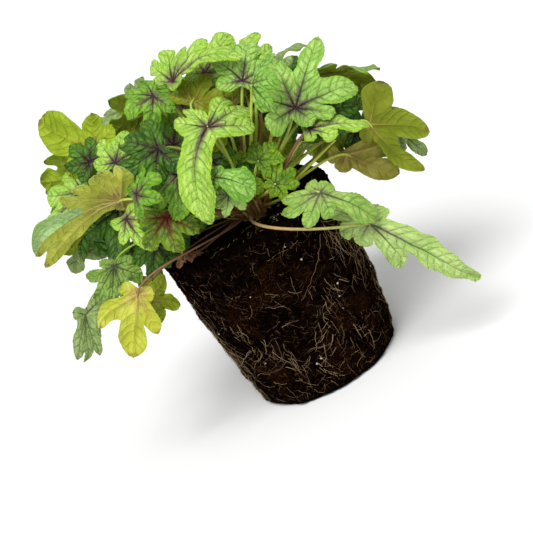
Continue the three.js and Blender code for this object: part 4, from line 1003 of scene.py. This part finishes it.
def looks():
    """Colours of each kind of leaf: upper side, underside, and what their veins are like."""
    def coloured(look, own):
        return SimpleNamespace(**{key: linear(*value) if isinstance(value, tuple) else value
                                  for key, value in {**look, **own}.items()})

    def top(light, deep, **own):
        # the paler silvery cell colour and its share paint the sheen of the raised cells; the
        # margin colour is partly a painted highlight
        return coloured({
            "light": light, "deep": deep, "silver": (196, 224, 138), "net": (74, 112, 34),
            "rim": (158, 204, 54), "vein": (58, 28, 38), "haze": (106, 76, 80), "strength": 0.6,
            "rib": 0.95, "lines": 0.62, "smoke": 0.95, "ink": 1.0, "bloom": 0.35, "hub": 6.5,
            "inked": 0.7,
        }, own)

    def under(light, deep, **own):
        return coloured({
            "light": light, "deep": deep, "rim": (150, 186, 40), "margin": 0.4,
            "net": (104, 122, 24), "vein": (178, 166, 92), "haze": (122, 90, 62), "smoke": 0.6,
            "lines": 0.28, "strength": 0.34, "hub": 10.0, "spread": 3.5, "run": 0.6,
        }, own)

    plain_under = under((158, 178, 76), (128, 152, 46))
    return {
        "bright": (top((188, 226, 94), (156, 204, 66)), plain_under),
        "pale": (top((190, 216, 128), (166, 200, 104), vein=(92, 68, 78), haze=(136, 118, 104),
                     silver=(204, 224, 156), net=(98, 134, 66), rim=(168, 204, 98), ink=0.75,
                     smoke=0.5, strength=0.42, lines=0.42, bloom=0.22), plain_under),
        "sage": (top((166, 200, 94), (136, 178, 68), silver=(190, 216, 138), net=(88, 124, 58),
                     rim=(150, 190, 76), vein=(84, 62, 66), haze=(116, 108, 84), ink=0.8,
                     smoke=0.6, strength=0.46, lines=0.45, hub=4.0, inked=0.6), plain_under),
        "dull": (top((142, 174, 78), (108, 144, 46), silver=(164, 192, 110), net=(72, 104, 42),
                     rim=(122, 160, 54), vein=(58, 50, 44), haze=(84, 84, 56), ink=0.7,
                     smoke=0.6, hub=4.5, inked=0.5), plain_under),
        "soft": (top((178, 218, 100), (146, 196, 72), silver=(190, 224, 140), net=(62, 98, 44),
                     rim=(144, 196, 68), bloom=0.45, haze=(100, 82, 84)), plain_under),
        "silver": (top((140, 192, 70), (104, 160, 42), silver=(176, 216, 122), bloom=0.6, ink=0.5,
                       smoke=0.3, hub=3.0, rim=(124, 186, 60), net=(56, 96, 34)), plain_under),
        "mid": (top((132, 180, 50), (92, 144, 28), silver=(160, 202, 94), rim=(120, 176, 36),
                    net=(52, 88, 22)), plain_under),
        "dark": (top((82, 126, 30), (48, 88, 12), silver=(112, 158, 60), bloom=0.5,
                     net=(34, 62, 14), vein=(34, 18, 24), haze=(66, 50, 44), inked=0.8,
                     rim=(60, 106, 22), lines=0.5, strength=0.65),
                 under((112, 134, 40), (80, 102, 22))),
        "grey": (top((154, 176, 104), (120, 148, 74), silver=(180, 198, 138), ink=0.3, smoke=0.2,
                     rim=(136, 162, 84), net=(88, 112, 56), lines=0.4),
                 under((150, 162, 94), (120, 136, 66))),
        "young": (top((110, 138, 16), (66, 96, 8), vein=(90, 12, 20), haze=(118, 50, 34),
                      inked=0.95, net=(58, 82, 12), bloom=0.12, rim=(122, 156, 20)), plain_under),
        "fresh": (top((130, 168, 28), (84, 128, 14), bloom=0.1, ink=0.25, smoke=0.15,
                      net=(58, 94, 12), hub=2.4, rim=(136, 176, 32), lines=0.4), plain_under),
        "olive": (top((130, 172, 52), (94, 138, 34), rim=(126, 170, 44)),
                  under((160, 174, 46), (126, 142, 24))),
        "lime": (top((142, 182, 56), (106, 150, 36)),
                 under((164, 186, 44), (132, 154, 24), haze=(150, 104, 58), smoke=0.7,
                       vein=(170, 136, 70), rim=(158, 188, 30), hub=9.0)),
        "rusty": (top((178, 210, 134), (144, 188, 100), silver=(200, 226, 164), ink=0.1, smoke=0.1,
                      net=(100, 140, 70), rim=(160, 200, 112)),
                  under((192, 198, 84), (166, 174, 58), haze=(120, 86, 62), smoke=0.85, hub=10.5,
                        spread=3.6, vein=(210, 190, 116), rim=(182, 194, 66),
                        net=(138, 136, 40), lines=0.36)),
        "moss": (top((122, 160, 50), (90, 128, 34)),
                 under((146, 156, 40), (116, 130, 24), haze=(116, 90, 48), smoke=0.5,
                       vein=(160, 148, 66), rim=(138, 156, 30))),
        "brown": (top((130, 156, 56), (96, 124, 36)),
                  under((180, 174, 80), (150, 144, 50), haze=(146, 112, 76),
                        vein=(196, 178, 112), rim=(150, 156, 46), net=(124, 112, 40))),
        "yellow": (top((150, 178, 52), (116, 148, 30)),
                   under((208, 212, 92), (184, 190, 60), vein=(206, 178, 112), smoke=0.75,
                         haze=(176, 132, 86), rim=(178, 190, 50), net=(152, 152, 44), hub=9.0,
                         strength=0.24, lines=0.2)),
        "dead": (top((188, 140, 100), (134, 92, 62), silver=(196, 156, 118), net=(90, 58, 38),
                     vein=(76, 48, 34), haze=(112, 76, 56), rim=(150, 106, 72)),
                 under((190, 144, 104), (136, 96, 66), vein=(104, 68, 46), net=(98, 66, 44),
                       haze=(96, 66, 46), rim=(148, 104, 70))),
    }


def grow_leaves():
    palette = {}
    for name, (top, under) in looks().items():
        palette[name] = (leaf_top(f"leaf_{name}_top", top), leaf_under(f"leaf_{name}_under", under))
    stalks = {name: stalk_paint(f"stalk_{name}", *colors) for name, colors in {
        "green": ((156, 128, 64), (172, 190, 74), (176, 202, 94)),
        "lime": ((170, 154, 74), (204, 212, 84), (200, 214, 98)),
        "red": ((124, 82, 56), (142, 98, 72), (146, 112, 78)),
        "tan": ((140, 110, 70), (184, 154, 102), (168, 182, 92)),
    }.items()}
    for leaf in settled_leaves() + inner_leaves():
        dead = leaf.look == "dead"
        leaf.crumple = 1.1 if dead else 0
        leaf.stalk = SLENDER.get(leaf.name, 0.7 + 0.1 * vary(leaf.seed, 9))
        leaf.tooth = TEETH.get(leaf.look, USUAL_TEETH)
        points, triangles, kinds, facts = blade(leaf)
        tube_points, tube_faces, part = stalk(leaf)
        shift = len(points)
        faces = [tuple(t) for t in triangles.tolist()]
        faces += [tuple(i + shift for i in face) for face in tube_faces]
        tint = "red" if leaf.seed % 7 == 5 or dead else ("lime", "green")[leaf.seed % 2]
        inner = leaf.name.startswith("inner")
        piece = make_object(
            leaf.name if inner else f"{leaf.name}_fine", np.vstack([points, tube_points]), faces,
            [*palette[leaf.look], stalks[TINTED.get(leaf.name, tint)]],
            np.concatenate([kinds, np.full(len(tube_faces), 2)]))
        empty = np.zeros((sum(map(len, tube_faces)), 3))
        for fact, values in facts.items():
            set_corners(piece.data, fact, np.vstack([values, empty]))
        set_points(piece.data, "part", np.concatenate([np.zeros(shift), part]))
        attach(piece, "root")
        if not inner:
            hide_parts(leaf.name)
        SLOTS.get(leaf.look, "leaf")


# Root ball ---------------------------------------------------------------------------


BALL_COLUMNS = 320
FOOT_ROWS, SIDE_ROWS, TOP_ROWS = 18, 104, 46


def lumps(azimuth, z):
    return LUMP * (0.5 * np.sin(5 * azimuth + z / 17) + 0.35 * np.sin(11 * azimuth - z / 9)
                   + 0.3 * np.sin(3 * azimuth + z / 6))


def crumbled(azimuth, z):
    turn = (np.degrees(azimuth) - CRUMBLED_RIM.azimuth + 540) % 360 - 180
    near = np.exp(-((turn / CRUMBLED_RIM.spread) ** 2))
    start = BALL_HEIGHT * CRUMBLED_RIM.reach
    high = np.maximum(0, (z - start) / (BALL_HEIGHT - start))
    return CRUMBLED_RIM.depth * near * high**1.5


def side_radius(azimuth, z):
    taper = BALL_FOOT_RADIUS + (BALL_TOP_RADIUS - BALL_FOOT_RADIUS) * z / BALL_HEIGHT
    return taper + lumps(azimuth, z) - crumbled(azimuth, z)


def soil_height(radius, azimuth):
    part = radius / BALL_TOP_RADIUS
    rough = (0.7 * np.sin(4 * azimuth + radius / 5) + 0.5 * np.sin(radius / 4)) * part
    return SOIL_LEVEL + SOIL_DIP * part**3 + rough - crumbled(azimuth, BALL_HEIGHT) * 0.35 * part**4


def grit(point):
    """Rough height of the peat at a point, in millimetres out of its mean surface."""
    x, y, z = point
    coarse = noise.noise(Vector((x / 7, y / 7, z / 9)))
    middle = noise.noise(Vector((x / 2.9 + 9, y / 2.9, z / 3.4)))
    fine = noise.noise(Vector((x / 1.35, y / 1.35 + 5, z / 1.35)))
    pit = max(0.0, noise.noise(Vector((x / 5 + 31, y / 5, z / 5))) - 0.22)
    return 1.3 * coarse + 0.9 * middle + 0.5 * fine - 5.0 * pit


def ball_profile(azimuth):
    """Radius, height and outward direction (out, up) from the foot's middle over to the top."""
    rows = []
    for part in np.linspace(0.04, 0.93, FOOT_ROWS):
        rows.append((BALL_FOOT_RADIUS * part, 0.0, 0.0, -1.0))
    for turn in np.linspace(0, 75, 4):
        t = math.radians(turn)
        foot = side_radius(azimuth, 0) - FOOT_ROUND
        rows.append((foot + FOOT_ROUND * math.sin(t), FOOT_ROUND * (1 - math.cos(t)),
                     math.sin(t), -math.cos(t)))
    top = BALL_HEIGHT - RIM_ROUND
    for z in np.linspace(FOOT_ROUND, top, SIDE_ROWS):
        rows.append((side_radius(azimuth, z), z, 1.0, 0.0))
    rim = side_radius(azimuth, BALL_HEIGHT) - RIM_ROUND
    edge = soil_height(rim, azimuth)
    for turn in (20, 45, 70):
        t = math.radians(turn)
        rows.append((rim + RIM_ROUND * math.cos(t), top + (edge - top) * math.sin(t),
                     math.cos(t), math.sin(t)))
    for part in np.linspace(1, 0.03, TOP_ROWS):
        rows.append((rim * part, soil_height(rim * part, azimuth), 0.0, 1.0))
    return rows


def soil_paint():
    paint = Paint("soil")
    spot = paint.position()
    coarse = paint.noise(spot, 160.0, 6.0, 0.65)
    fine = paint.noise(spot, 1100.0, 5.0, 0.7)
    warped = paint.warped(spot, 120.0, 0.012)
    fibres = paint.noise(paint.stretched(warped, (2600, 2600, 420)), 1.0)
    across = paint.noise(paint.stretched(warped, (500, 500, 2600)), 1.0)
    color = paint.mix(coarse.ramp(0.38, 0.72), linear(4, 2, 2), linear(15, 9, 7))
    color = paint.mix(fibres.ramp(0.56, 0.7, 0.0, 0.6), color, linear(46, 29, 20))
    color = paint.mix(across.ramp(0.58, 0.7, 0.0, 0.5), color, linear(50, 32, 22))
    rust = paint.noise(spot, 48.0, 5.0, 0.6).ramp(0.5, 0.66) * fine.ramp(0.42, 0.6) * 0.4
    color = paint.mix(rust, color, linear(72, 40, 22))
    color = paint.mix(fine.ramp(0.63, 0.76, 0.0, 0.4), color, linear(74, 54, 38))
    height = coarse * 1.2 + (fine * 0.9 + fibres * 0.6)
    return paint.finish(color, 1.0, paint.bump(height, 0.0016), 0.0)


def root_ball():
    points = []
    for k in range(BALL_COLUMNS):
        azimuth = 2 * math.pi * k / BALL_COLUMNS
        cos, sin = math.cos(azimuth), math.sin(azimuth)
        for radius, z, out, up in ball_profile(azimuth):
            base = (radius * cos, radius * sin, z)
            height = grit(base)
            if up < -0.5:
                height = min(0.0, -0.6 * abs(height))
            if up > 0.9:
                height *= 1.25
            points.append([base[0] + out * cos * height, base[1] + out * sin * height,
                           max(0.0, base[2] + up * height)])
    ends = [[0, 0, 0.3], [0, 0, SOIL_LEVEL]]
    faces = shell(BALL_COLUMNS, len(points) // BALL_COLUMNS)
    ball = make_object("root_ball_fine", points + ends, faces, [soil_paint()])
    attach(ball, "root")
    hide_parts("root_ball")


def on_side(azimuth, z, lift):
    radius = float(side_radius(azimuth, z))
    base = (radius * math.cos(azimuth), radius * math.sin(azimuth), z)
    radius += max(-0.4, grit(base)) + lift
    return [radius * math.cos(azimuth), radius * math.sin(azimuth), z]


def thread_paint(name, light, dark):
    paint = Paint(name)
    light, dark = linear(*light), linear(*dark)
    mottle = paint.noise(paint.position(), 700.0)
    color = paint.mix(paint.attribute("tone", "Fac"), light, dark)
    color = paint.mix(mottle.ramp(0.4, 0.75, 0.0, 0.55), color, dark)
    return paint.finish(color, 0.85, paint.bump(mottle, 0.0004, 0.6), 0.02)


def join(name, bits, material):
    """One piece of many small closed bits, each given as points, faces and a tone."""
    points, faces, tones = [], [], []
    shift = 0
    for bit_points, bit_faces, tone in bits:
        points.append(bit_points)
        faces += [tuple(i + shift for i in face) for face in bit_faces]
        tones.append(np.full(len(bit_points), tone))
        shift += len(bit_points)
    piece = make_object(name, np.vstack(points), faces, [material])
    set_points(piece.data, "tone", np.concatenate(tones))
    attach(piece, "root")


def thread(path, radii, sides, tone):
    return *tube(path, radii, sides)[:2], tone


def root_path(draw, azimuth, z, heading, length, wander, lift):
    """A root's way over the side of the ball, from a start in a heading; -90 degrees is down."""
    path = []
    for _ in range(max(4, int(length / ROOT_STEP))):
        path.append(on_side(azimuth, z, lift))
        heading += draw.normal(0, wander)
        z += math.sin(heading) * ROOT_STEP
        azimuth += math.cos(heading) * ROOT_STEP / SIDE_RADIUS
        lift = min(1.3, max(0.0, lift + draw.normal(0, 0.16)))
        if z < 3 or z > BALL_HEIGHT - 5:
            break
    return path


# Where roots show together: azimuth and height, how far they spread, their heading, how many,
# and their length
ROOT_FANS = [
    (-122, 44, 9, 7, -100, 16, 22), (-112, 36, 8, 6, -80, 12, 18), (-76, 58, 8, 5, -120, 12, 16),
    (-64, 66, 6, 5, -70, 11, 18), (-52, 100, 4, 3, -85, 9, 42), (-44, 84, 8, 10, -75, 14, 22),
    (-30, 70, 8, 14, -90, 16, 24), (-98, 22, 10, 6, -60, 12, 16), (-84, 34, 10, 6, -140, 12, 16),
    (-14, 60, 10, 16, -95, 16, 26), (-58, 30, 9, 6, -100, 10, 14), (-136, 70, 6, 6, -80, 7, 14),
    (188, 66, 9, 18, -92, 30, 52), (200, 50, 8, 18, -90, 22, 40), (178, 40, 9, 16, -95, 20, 32),
    (150, 60, 10, 16, -90, 14, 30), (120, 40, 12, 14, -80, 14, 24), (84, 62, 12, 16, -95, 16, 30),
    (50, 40, 12, 14, -100, 14, 26), (20, 52, 10, 16, -85, 16, 28),
]
ROOT_STEP = 1.5
LOOSE_ROOTS = 420
FIBRES = 5600
CRUMBS = 420
PERLITE = 34
STRAWS = 150


def side_roots():
    """Fine tan roots over the side of the ball, in fans, with loose threads between them."""
    draw = np.random.RandomState(11)
    roots = []
    for azimuth, z, wide, tall, heading, count, length in ROOT_FANS:
        for _ in range(count):
            start = (math.radians(azimuth + draw.normal(0, wide * 0.6)), z + draw.normal(0, tall))
            path = root_path(draw, *start, math.radians(heading) + draw.normal(0, 0.45),
                             length * draw.uniform(0.4, 1.2), 0.16, draw.uniform(0.1, 0.7))
            if len(path) > 3:
                thick = draw.choice([0.065, 0.095, 0.15], p=[0.45, 0.4, 0.15])
                roots.append(thread(path, thick * np.linspace(1, 0.4, len(path)), 4,
                                    draw.uniform(0, 0.8)))
    for _ in range(LOOSE_ROOTS):
        start = (draw.uniform(0, 2 * math.pi), 5 + 106 * draw.uniform(0, 1) ** 1.2)
        path = root_path(draw, *start, draw.normal(-math.pi / 2, 1.0), draw.uniform(4, 17), 0.26,
                         draw.uniform(0.0, 0.4))
        if len(path) > 3:
            thick = draw.uniform(0.05, 0.1)
            roots.append(thread(path, thick * np.linspace(1, 0.5, len(path)), 4,
                                draw.uniform(0.2, 1)))
    join("side_roots", roots, thread_paint("root_thread", (206, 180, 136), (90, 62, 38)))


def side_fibres():
    """Short bits of peat fibre and straw that lie all over the side of the ball."""
    draw = np.random.RandomState(31)
    fibres = []
    for _ in range(FIBRES):
        azimuth, z = draw.uniform(0, 2 * math.pi), draw.uniform(3, BALL_HEIGHT - 4)
        heading, length = draw.uniform(0, math.pi), draw.uniform(0.8, 4.4)
        path = []
        for step in (-length / 2, 0, length / 2):
            path.append(on_side(azimuth + math.cos(heading) * step / SIDE_RADIUS,
                                z + math.sin(heading) * step, 0.15 + draw.uniform(-0.1, 0.35)))
        thick = draw.uniform(0.05, 0.13)
        fibres.append(thread(path, thick * np.array([0.7, 1, 0.5]), 3, draw.uniform(0, 1) ** 0.3))
    join("side_fibres", fibres, thread_paint("peat_fibre", (146, 108, 68), (24, 14, 9)))


def grain_form():
    """Corners and faces of a regular form with twenty faces."""
    golden = (1 + 5**0.5) / 2
    corners = []
    for i in (-1, 1):
        for j in (-golden, golden):
            corners += [(0, i, j), (i, j, 0), (j, 0, i)]
    corners = np.array(corners, float)
    corners /= np.linalg.norm(corners[0])
    edge = min(np.linalg.norm(corners[0] - c) for c in corners[1:]) * 1.01
    faces = []
    for i, j, k in combinations(range(len(corners)), 3):
        three = corners[[i, j, k]]
        if max(np.linalg.norm(three - np.roll(three, 1, axis=0), axis=1)) < edge:
            flip = np.dot(np.cross(three[1] - three[0], three[2] - three[0]), three[0]) < 0
            faces.append((i, k, j) if flip else (i, j, k))
    return corners, faces


def grain(form, centre, size, seed, squash, tone):
    """A small rough grain, as a bit to join."""
    corners, faces = form
    points = corners * np.array([1 + 0.35 * vary(seed, k) for k in range(len(corners))])[:, None]
    return points * size * np.array([1, 1, squash]) + np.array(centre), faces, tone


def rim_radius(azimuth):
    return float(side_radius(azimuth, BALL_HEIGHT)) - RIM_ROUND


def on_top(radius, azimuth, lift):
    x, y = radius * math.cos(azimuth), radius * math.sin(azimuth)
    z = float(soil_height(radius, azimuth))
    return [x, y, z + 1.25 * grit((x, y, z)) + lift]


def litter():
    """Crumbs, perlite, straw and moss on the soil and in the side of the ball."""
    draw = np.random.RandomState(5)
    form = grain_form()
    crumbs, perlite = [], []
    for seed in range(CRUMBS):
        azimuth, size = draw.uniform(0, 2 * math.pi), draw.uniform(0.4, 1.5)
        radius = rim_radius(azimuth) * math.sqrt(draw.uniform(0.05, 0.98))
        spot = on_top(radius, azimuth, size * 0.3)
        crumbs.append(grain(form, spot, size, seed, 0.8, draw.uniform(0, 1)))
    join("soil_crumbs", crumbs, thread_paint("crumb", (36, 25, 18), (11, 8, 6)))
    for seed in range(PERLITE):
        azimuth, size = draw.uniform(0, 2 * math.pi), draw.uniform(0.3, 0.8)
        if seed % 2:
            radius = rim_radius(azimuth) * math.sqrt(draw.uniform(0.1, 0.9))
            spot = on_top(radius, azimuth, size * 0.5)
        else:
            spot = on_side(azimuth, draw.uniform(20, 112), size * 0.3)
        perlite.append(grain(form, spot, size, seed + 900, 0.85, draw.uniform(0, 0.6)))
    join("perlite", perlite, thread_paint("perlite", (226, 222, 210), (176, 168, 150)))
    straws, moss = [], []
    for _ in range(STRAWS):
        azimuth = draw.uniform(0, 2 * math.pi)
        radius = (rim_radius(azimuth) - 1) * math.sqrt(draw.uniform(0.25, 1))
        heading, length = draw.uniform(0, 2 * math.pi), draw.uniform(2.5, 9)
        path = []
        for part in np.linspace(-0.5, 0.5, 5):
            x = radius * math.cos(azimuth) + math.cos(heading) * length * part
            y = radius * math.sin(azimuth) + math.sin(heading) * length * part
            around = math.atan2(y, x)
            path.append(on_top(min(rim_radius(around), math.hypot(x, y)), around, 0.5))
            heading += draw.normal(0, 0.25)
        radii = draw.uniform(0.15, 0.45) * np.array([0.5, 1, 1, 0.9, 0.4])
        kind = moss if draw.uniform(0, 1) < 0.25 else straws
        kind.append(thread(path, radii, 4, draw.uniform(0, 1)))
    join("straw", straws, thread_paint("straw", (178, 148, 100), (96, 70, 44)))
    join("moss", moss, thread_paint("moss", (104, 108, 44), (56, 62, 24)))


# Crown -------------------------------------------------------------------------------


STUBS = 170


def crown():
    columns, rows = 72, 30
    points = []
    for k in range(columns):
        azimuth = 2 * math.pi * k / columns
        cos, sin = math.cos(azimuth), math.sin(azimuth)
        for i in range(rows):
            angle = math.radians(-18 + 106 * i / (rows - 1))
            out, up = math.cos(angle), math.sin(angle)
            ridges = 0.7 * math.sin(9 * azimuth + 4 * up) + 0.5 * math.sin(23 * azimuth - 3 * up)
            rough = 0.8 * noise.noise(Vector((out * cos * 5, out * sin * 5, up * 2)))
            radius = (CROWN_RADIUS - 0.6 + ridges * 0.6 + rough) * out
            points.append(CROWN_CENTRE + [radius * cos, radius * sin, (CROWN_HEIGHT + rough) * up])
    points += [CROWN_CENTRE - 7 * UP, CROWN_CENTRE + CROWN_HEIGHT * UP]
    paint = Paint("crown_bark")
    spot = paint.position()
    fibres = paint.noise(paint.stretched(spot, (1400, 1400, 170)), 1.0, 5.0, 0.6)
    patches = paint.noise(spot, 260.0, 4.0)
    color = paint.mix(fibres.ramp(0.35, 0.7), linear(104, 72, 36), linear(186, 146, 82))
    color = paint.mix(patches.ramp(0.5, 0.75, 0.0, 0.6), color, linear(124, 80, 48))
    material = paint.finish(color, 0.85, paint.bump(fibres, 0.0012), 0.2)
    body = make_object("crown_fine", points, shell(columns, rows), [material])
    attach(body, "root")
    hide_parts("crown")


def stubs():
    """Stubs and papery sheaths of old stalks, standing on the crown."""
    draw = np.random.RandomState(23)
    found = []
    for _ in range(STUBS):
        azimuth, up = draw.uniform(0, 2 * math.pi), draw.uniform(0.05, 0.95)
        level = math.sqrt(1 - up * up)
        way = np.array([level * math.cos(azimuth), level * math.sin(azimuth), up])
        square = crown_normal(way)
        foot = crown_point(way) - square * 1.5
        rise = unit(0.7 * square + np.array([0, 0, draw.uniform(0.5, 2.2)])
                    + draw.normal(0, 0.22, 3))
        length = draw.uniform(5, 21)
        sag = draw.normal(0, 0.12, 3) * length
        path = [foot + rise * length * t + sag * t * t for t in np.linspace(0, 1, 6)]
        radii = draw.uniform(0.25, 0.9) * np.linspace(1, draw.uniform(0.25, 0.8), 6)
        found.append(thread(path, radii, 6, draw.uniform(0, 1)))
    join("crown_stubs", found, thread_paint("stub", (224, 186, 112), (140, 102, 56)))


# Stage -------------------------------------------------------------------------------


# The view: metres to the middle of the soil, how far right and up of it the camera aims, which
# way is up in the picture, and the photo's width and focal length in pixels
EYE_DISTANCE = 0.8
AIM_OFF = (-0.0047, -0.0389)
ROLLED = (0.491, 0.871)
PHOTO_PIXELS = 533
FOCAL_PIXELS = 1250


def stage():
    floor_mesh = bpy.data.meshes.new("floor")
    half = 30.0
    floor_mesh.from_pydata([(-half, -half, 0), (half, -half, 0), (half, half, 0), (-half, half, 0)],
                           [], [(0, 1, 2, 3)])
    floor = bpy.data.objects.new("floor", floor_mesh)
    bpy.context.scene.collection.objects.link(floor)
    paint = Paint("floor")
    paint.shader.inputs["Base Color"].default_value = (0.9, 0.9, 0.9, 1)
    paint.shader.inputs["Roughness"].default_value = 0.9
    floor_mesh.materials.append(paint.material)

    world = bpy.data.worlds.new("studio")
    world.use_nodes = True
    background = world.node_tree.nodes["Background"]
    background.inputs["Color"].default_value = (1, 1, 1, 1)
    background.inputs["Strength"].default_value = 0.5
    bpy.context.scene.world = world

    for name, spot, spread, power in (("key", (-0.3, -0.62, 1.25), 34, 2.45),
                                      ("fill", (0.9, -0.35, 0.8), 60, 0.3)):
        light = bpy.data.lights.new(name, "SUN")
        light.angle = math.radians(spread)
        light.energy = power
        lamp = bpy.data.objects.new(name, light)
        lamp.location = spot
        lamp.rotation_euler = (-Vector(spot)).to_track_quat("-Z", "Y").to_euler()
        bpy.context.scene.collection.objects.link(lamp)
    bpy.context.scene.view_settings.view_transform = "Standard"


def camera():
    """The camera stands in front, a little above, and is rolled as in a snapshot."""
    right, rise = Vector((1, 0, 0)), Vector(RISE.tolist())
    forward = Vector((0, math.cos(SIGHT_TILT), -math.sin(SIGHT_TILT)))
    centre = Vector((0, 0, BALL_HEIGHT * MM))
    spot = centre - forward * EYE_DISTANCE
    aim = (centre + right * AIM_OFF[0] + rise * AIM_OFF[1] - spot).normalized()
    top = right * ROLLED[0] + rise * ROLLED[1]
    top = (top - aim * top.dot(aim)).normalized()
    side = aim.cross(top)
    data = bpy.data.cameras.new("camera")
    data.sensor_width = 36
    data.lens = data.sensor_width * FOCAL_PIXELS / PHOTO_PIXELS
    eye = bpy.data.objects.new("camera", data)
    eye.matrix_world = Matrix((
        (side.x, top.x, -aim.x, spot.x),
        (side.y, top.y, -aim.y, spot.y),
        (side.z, top.z, -aim.z, spot.z),
        (0, 0, 0, 1),
    ))
    bpy.context.scene.collection.objects.link(eye)
    bpy.context.scene.camera = eye


camera()
stage()
root_ball()
side_roots()
side_fibres()
litter()
crown()
stubs()
grow_leaves()
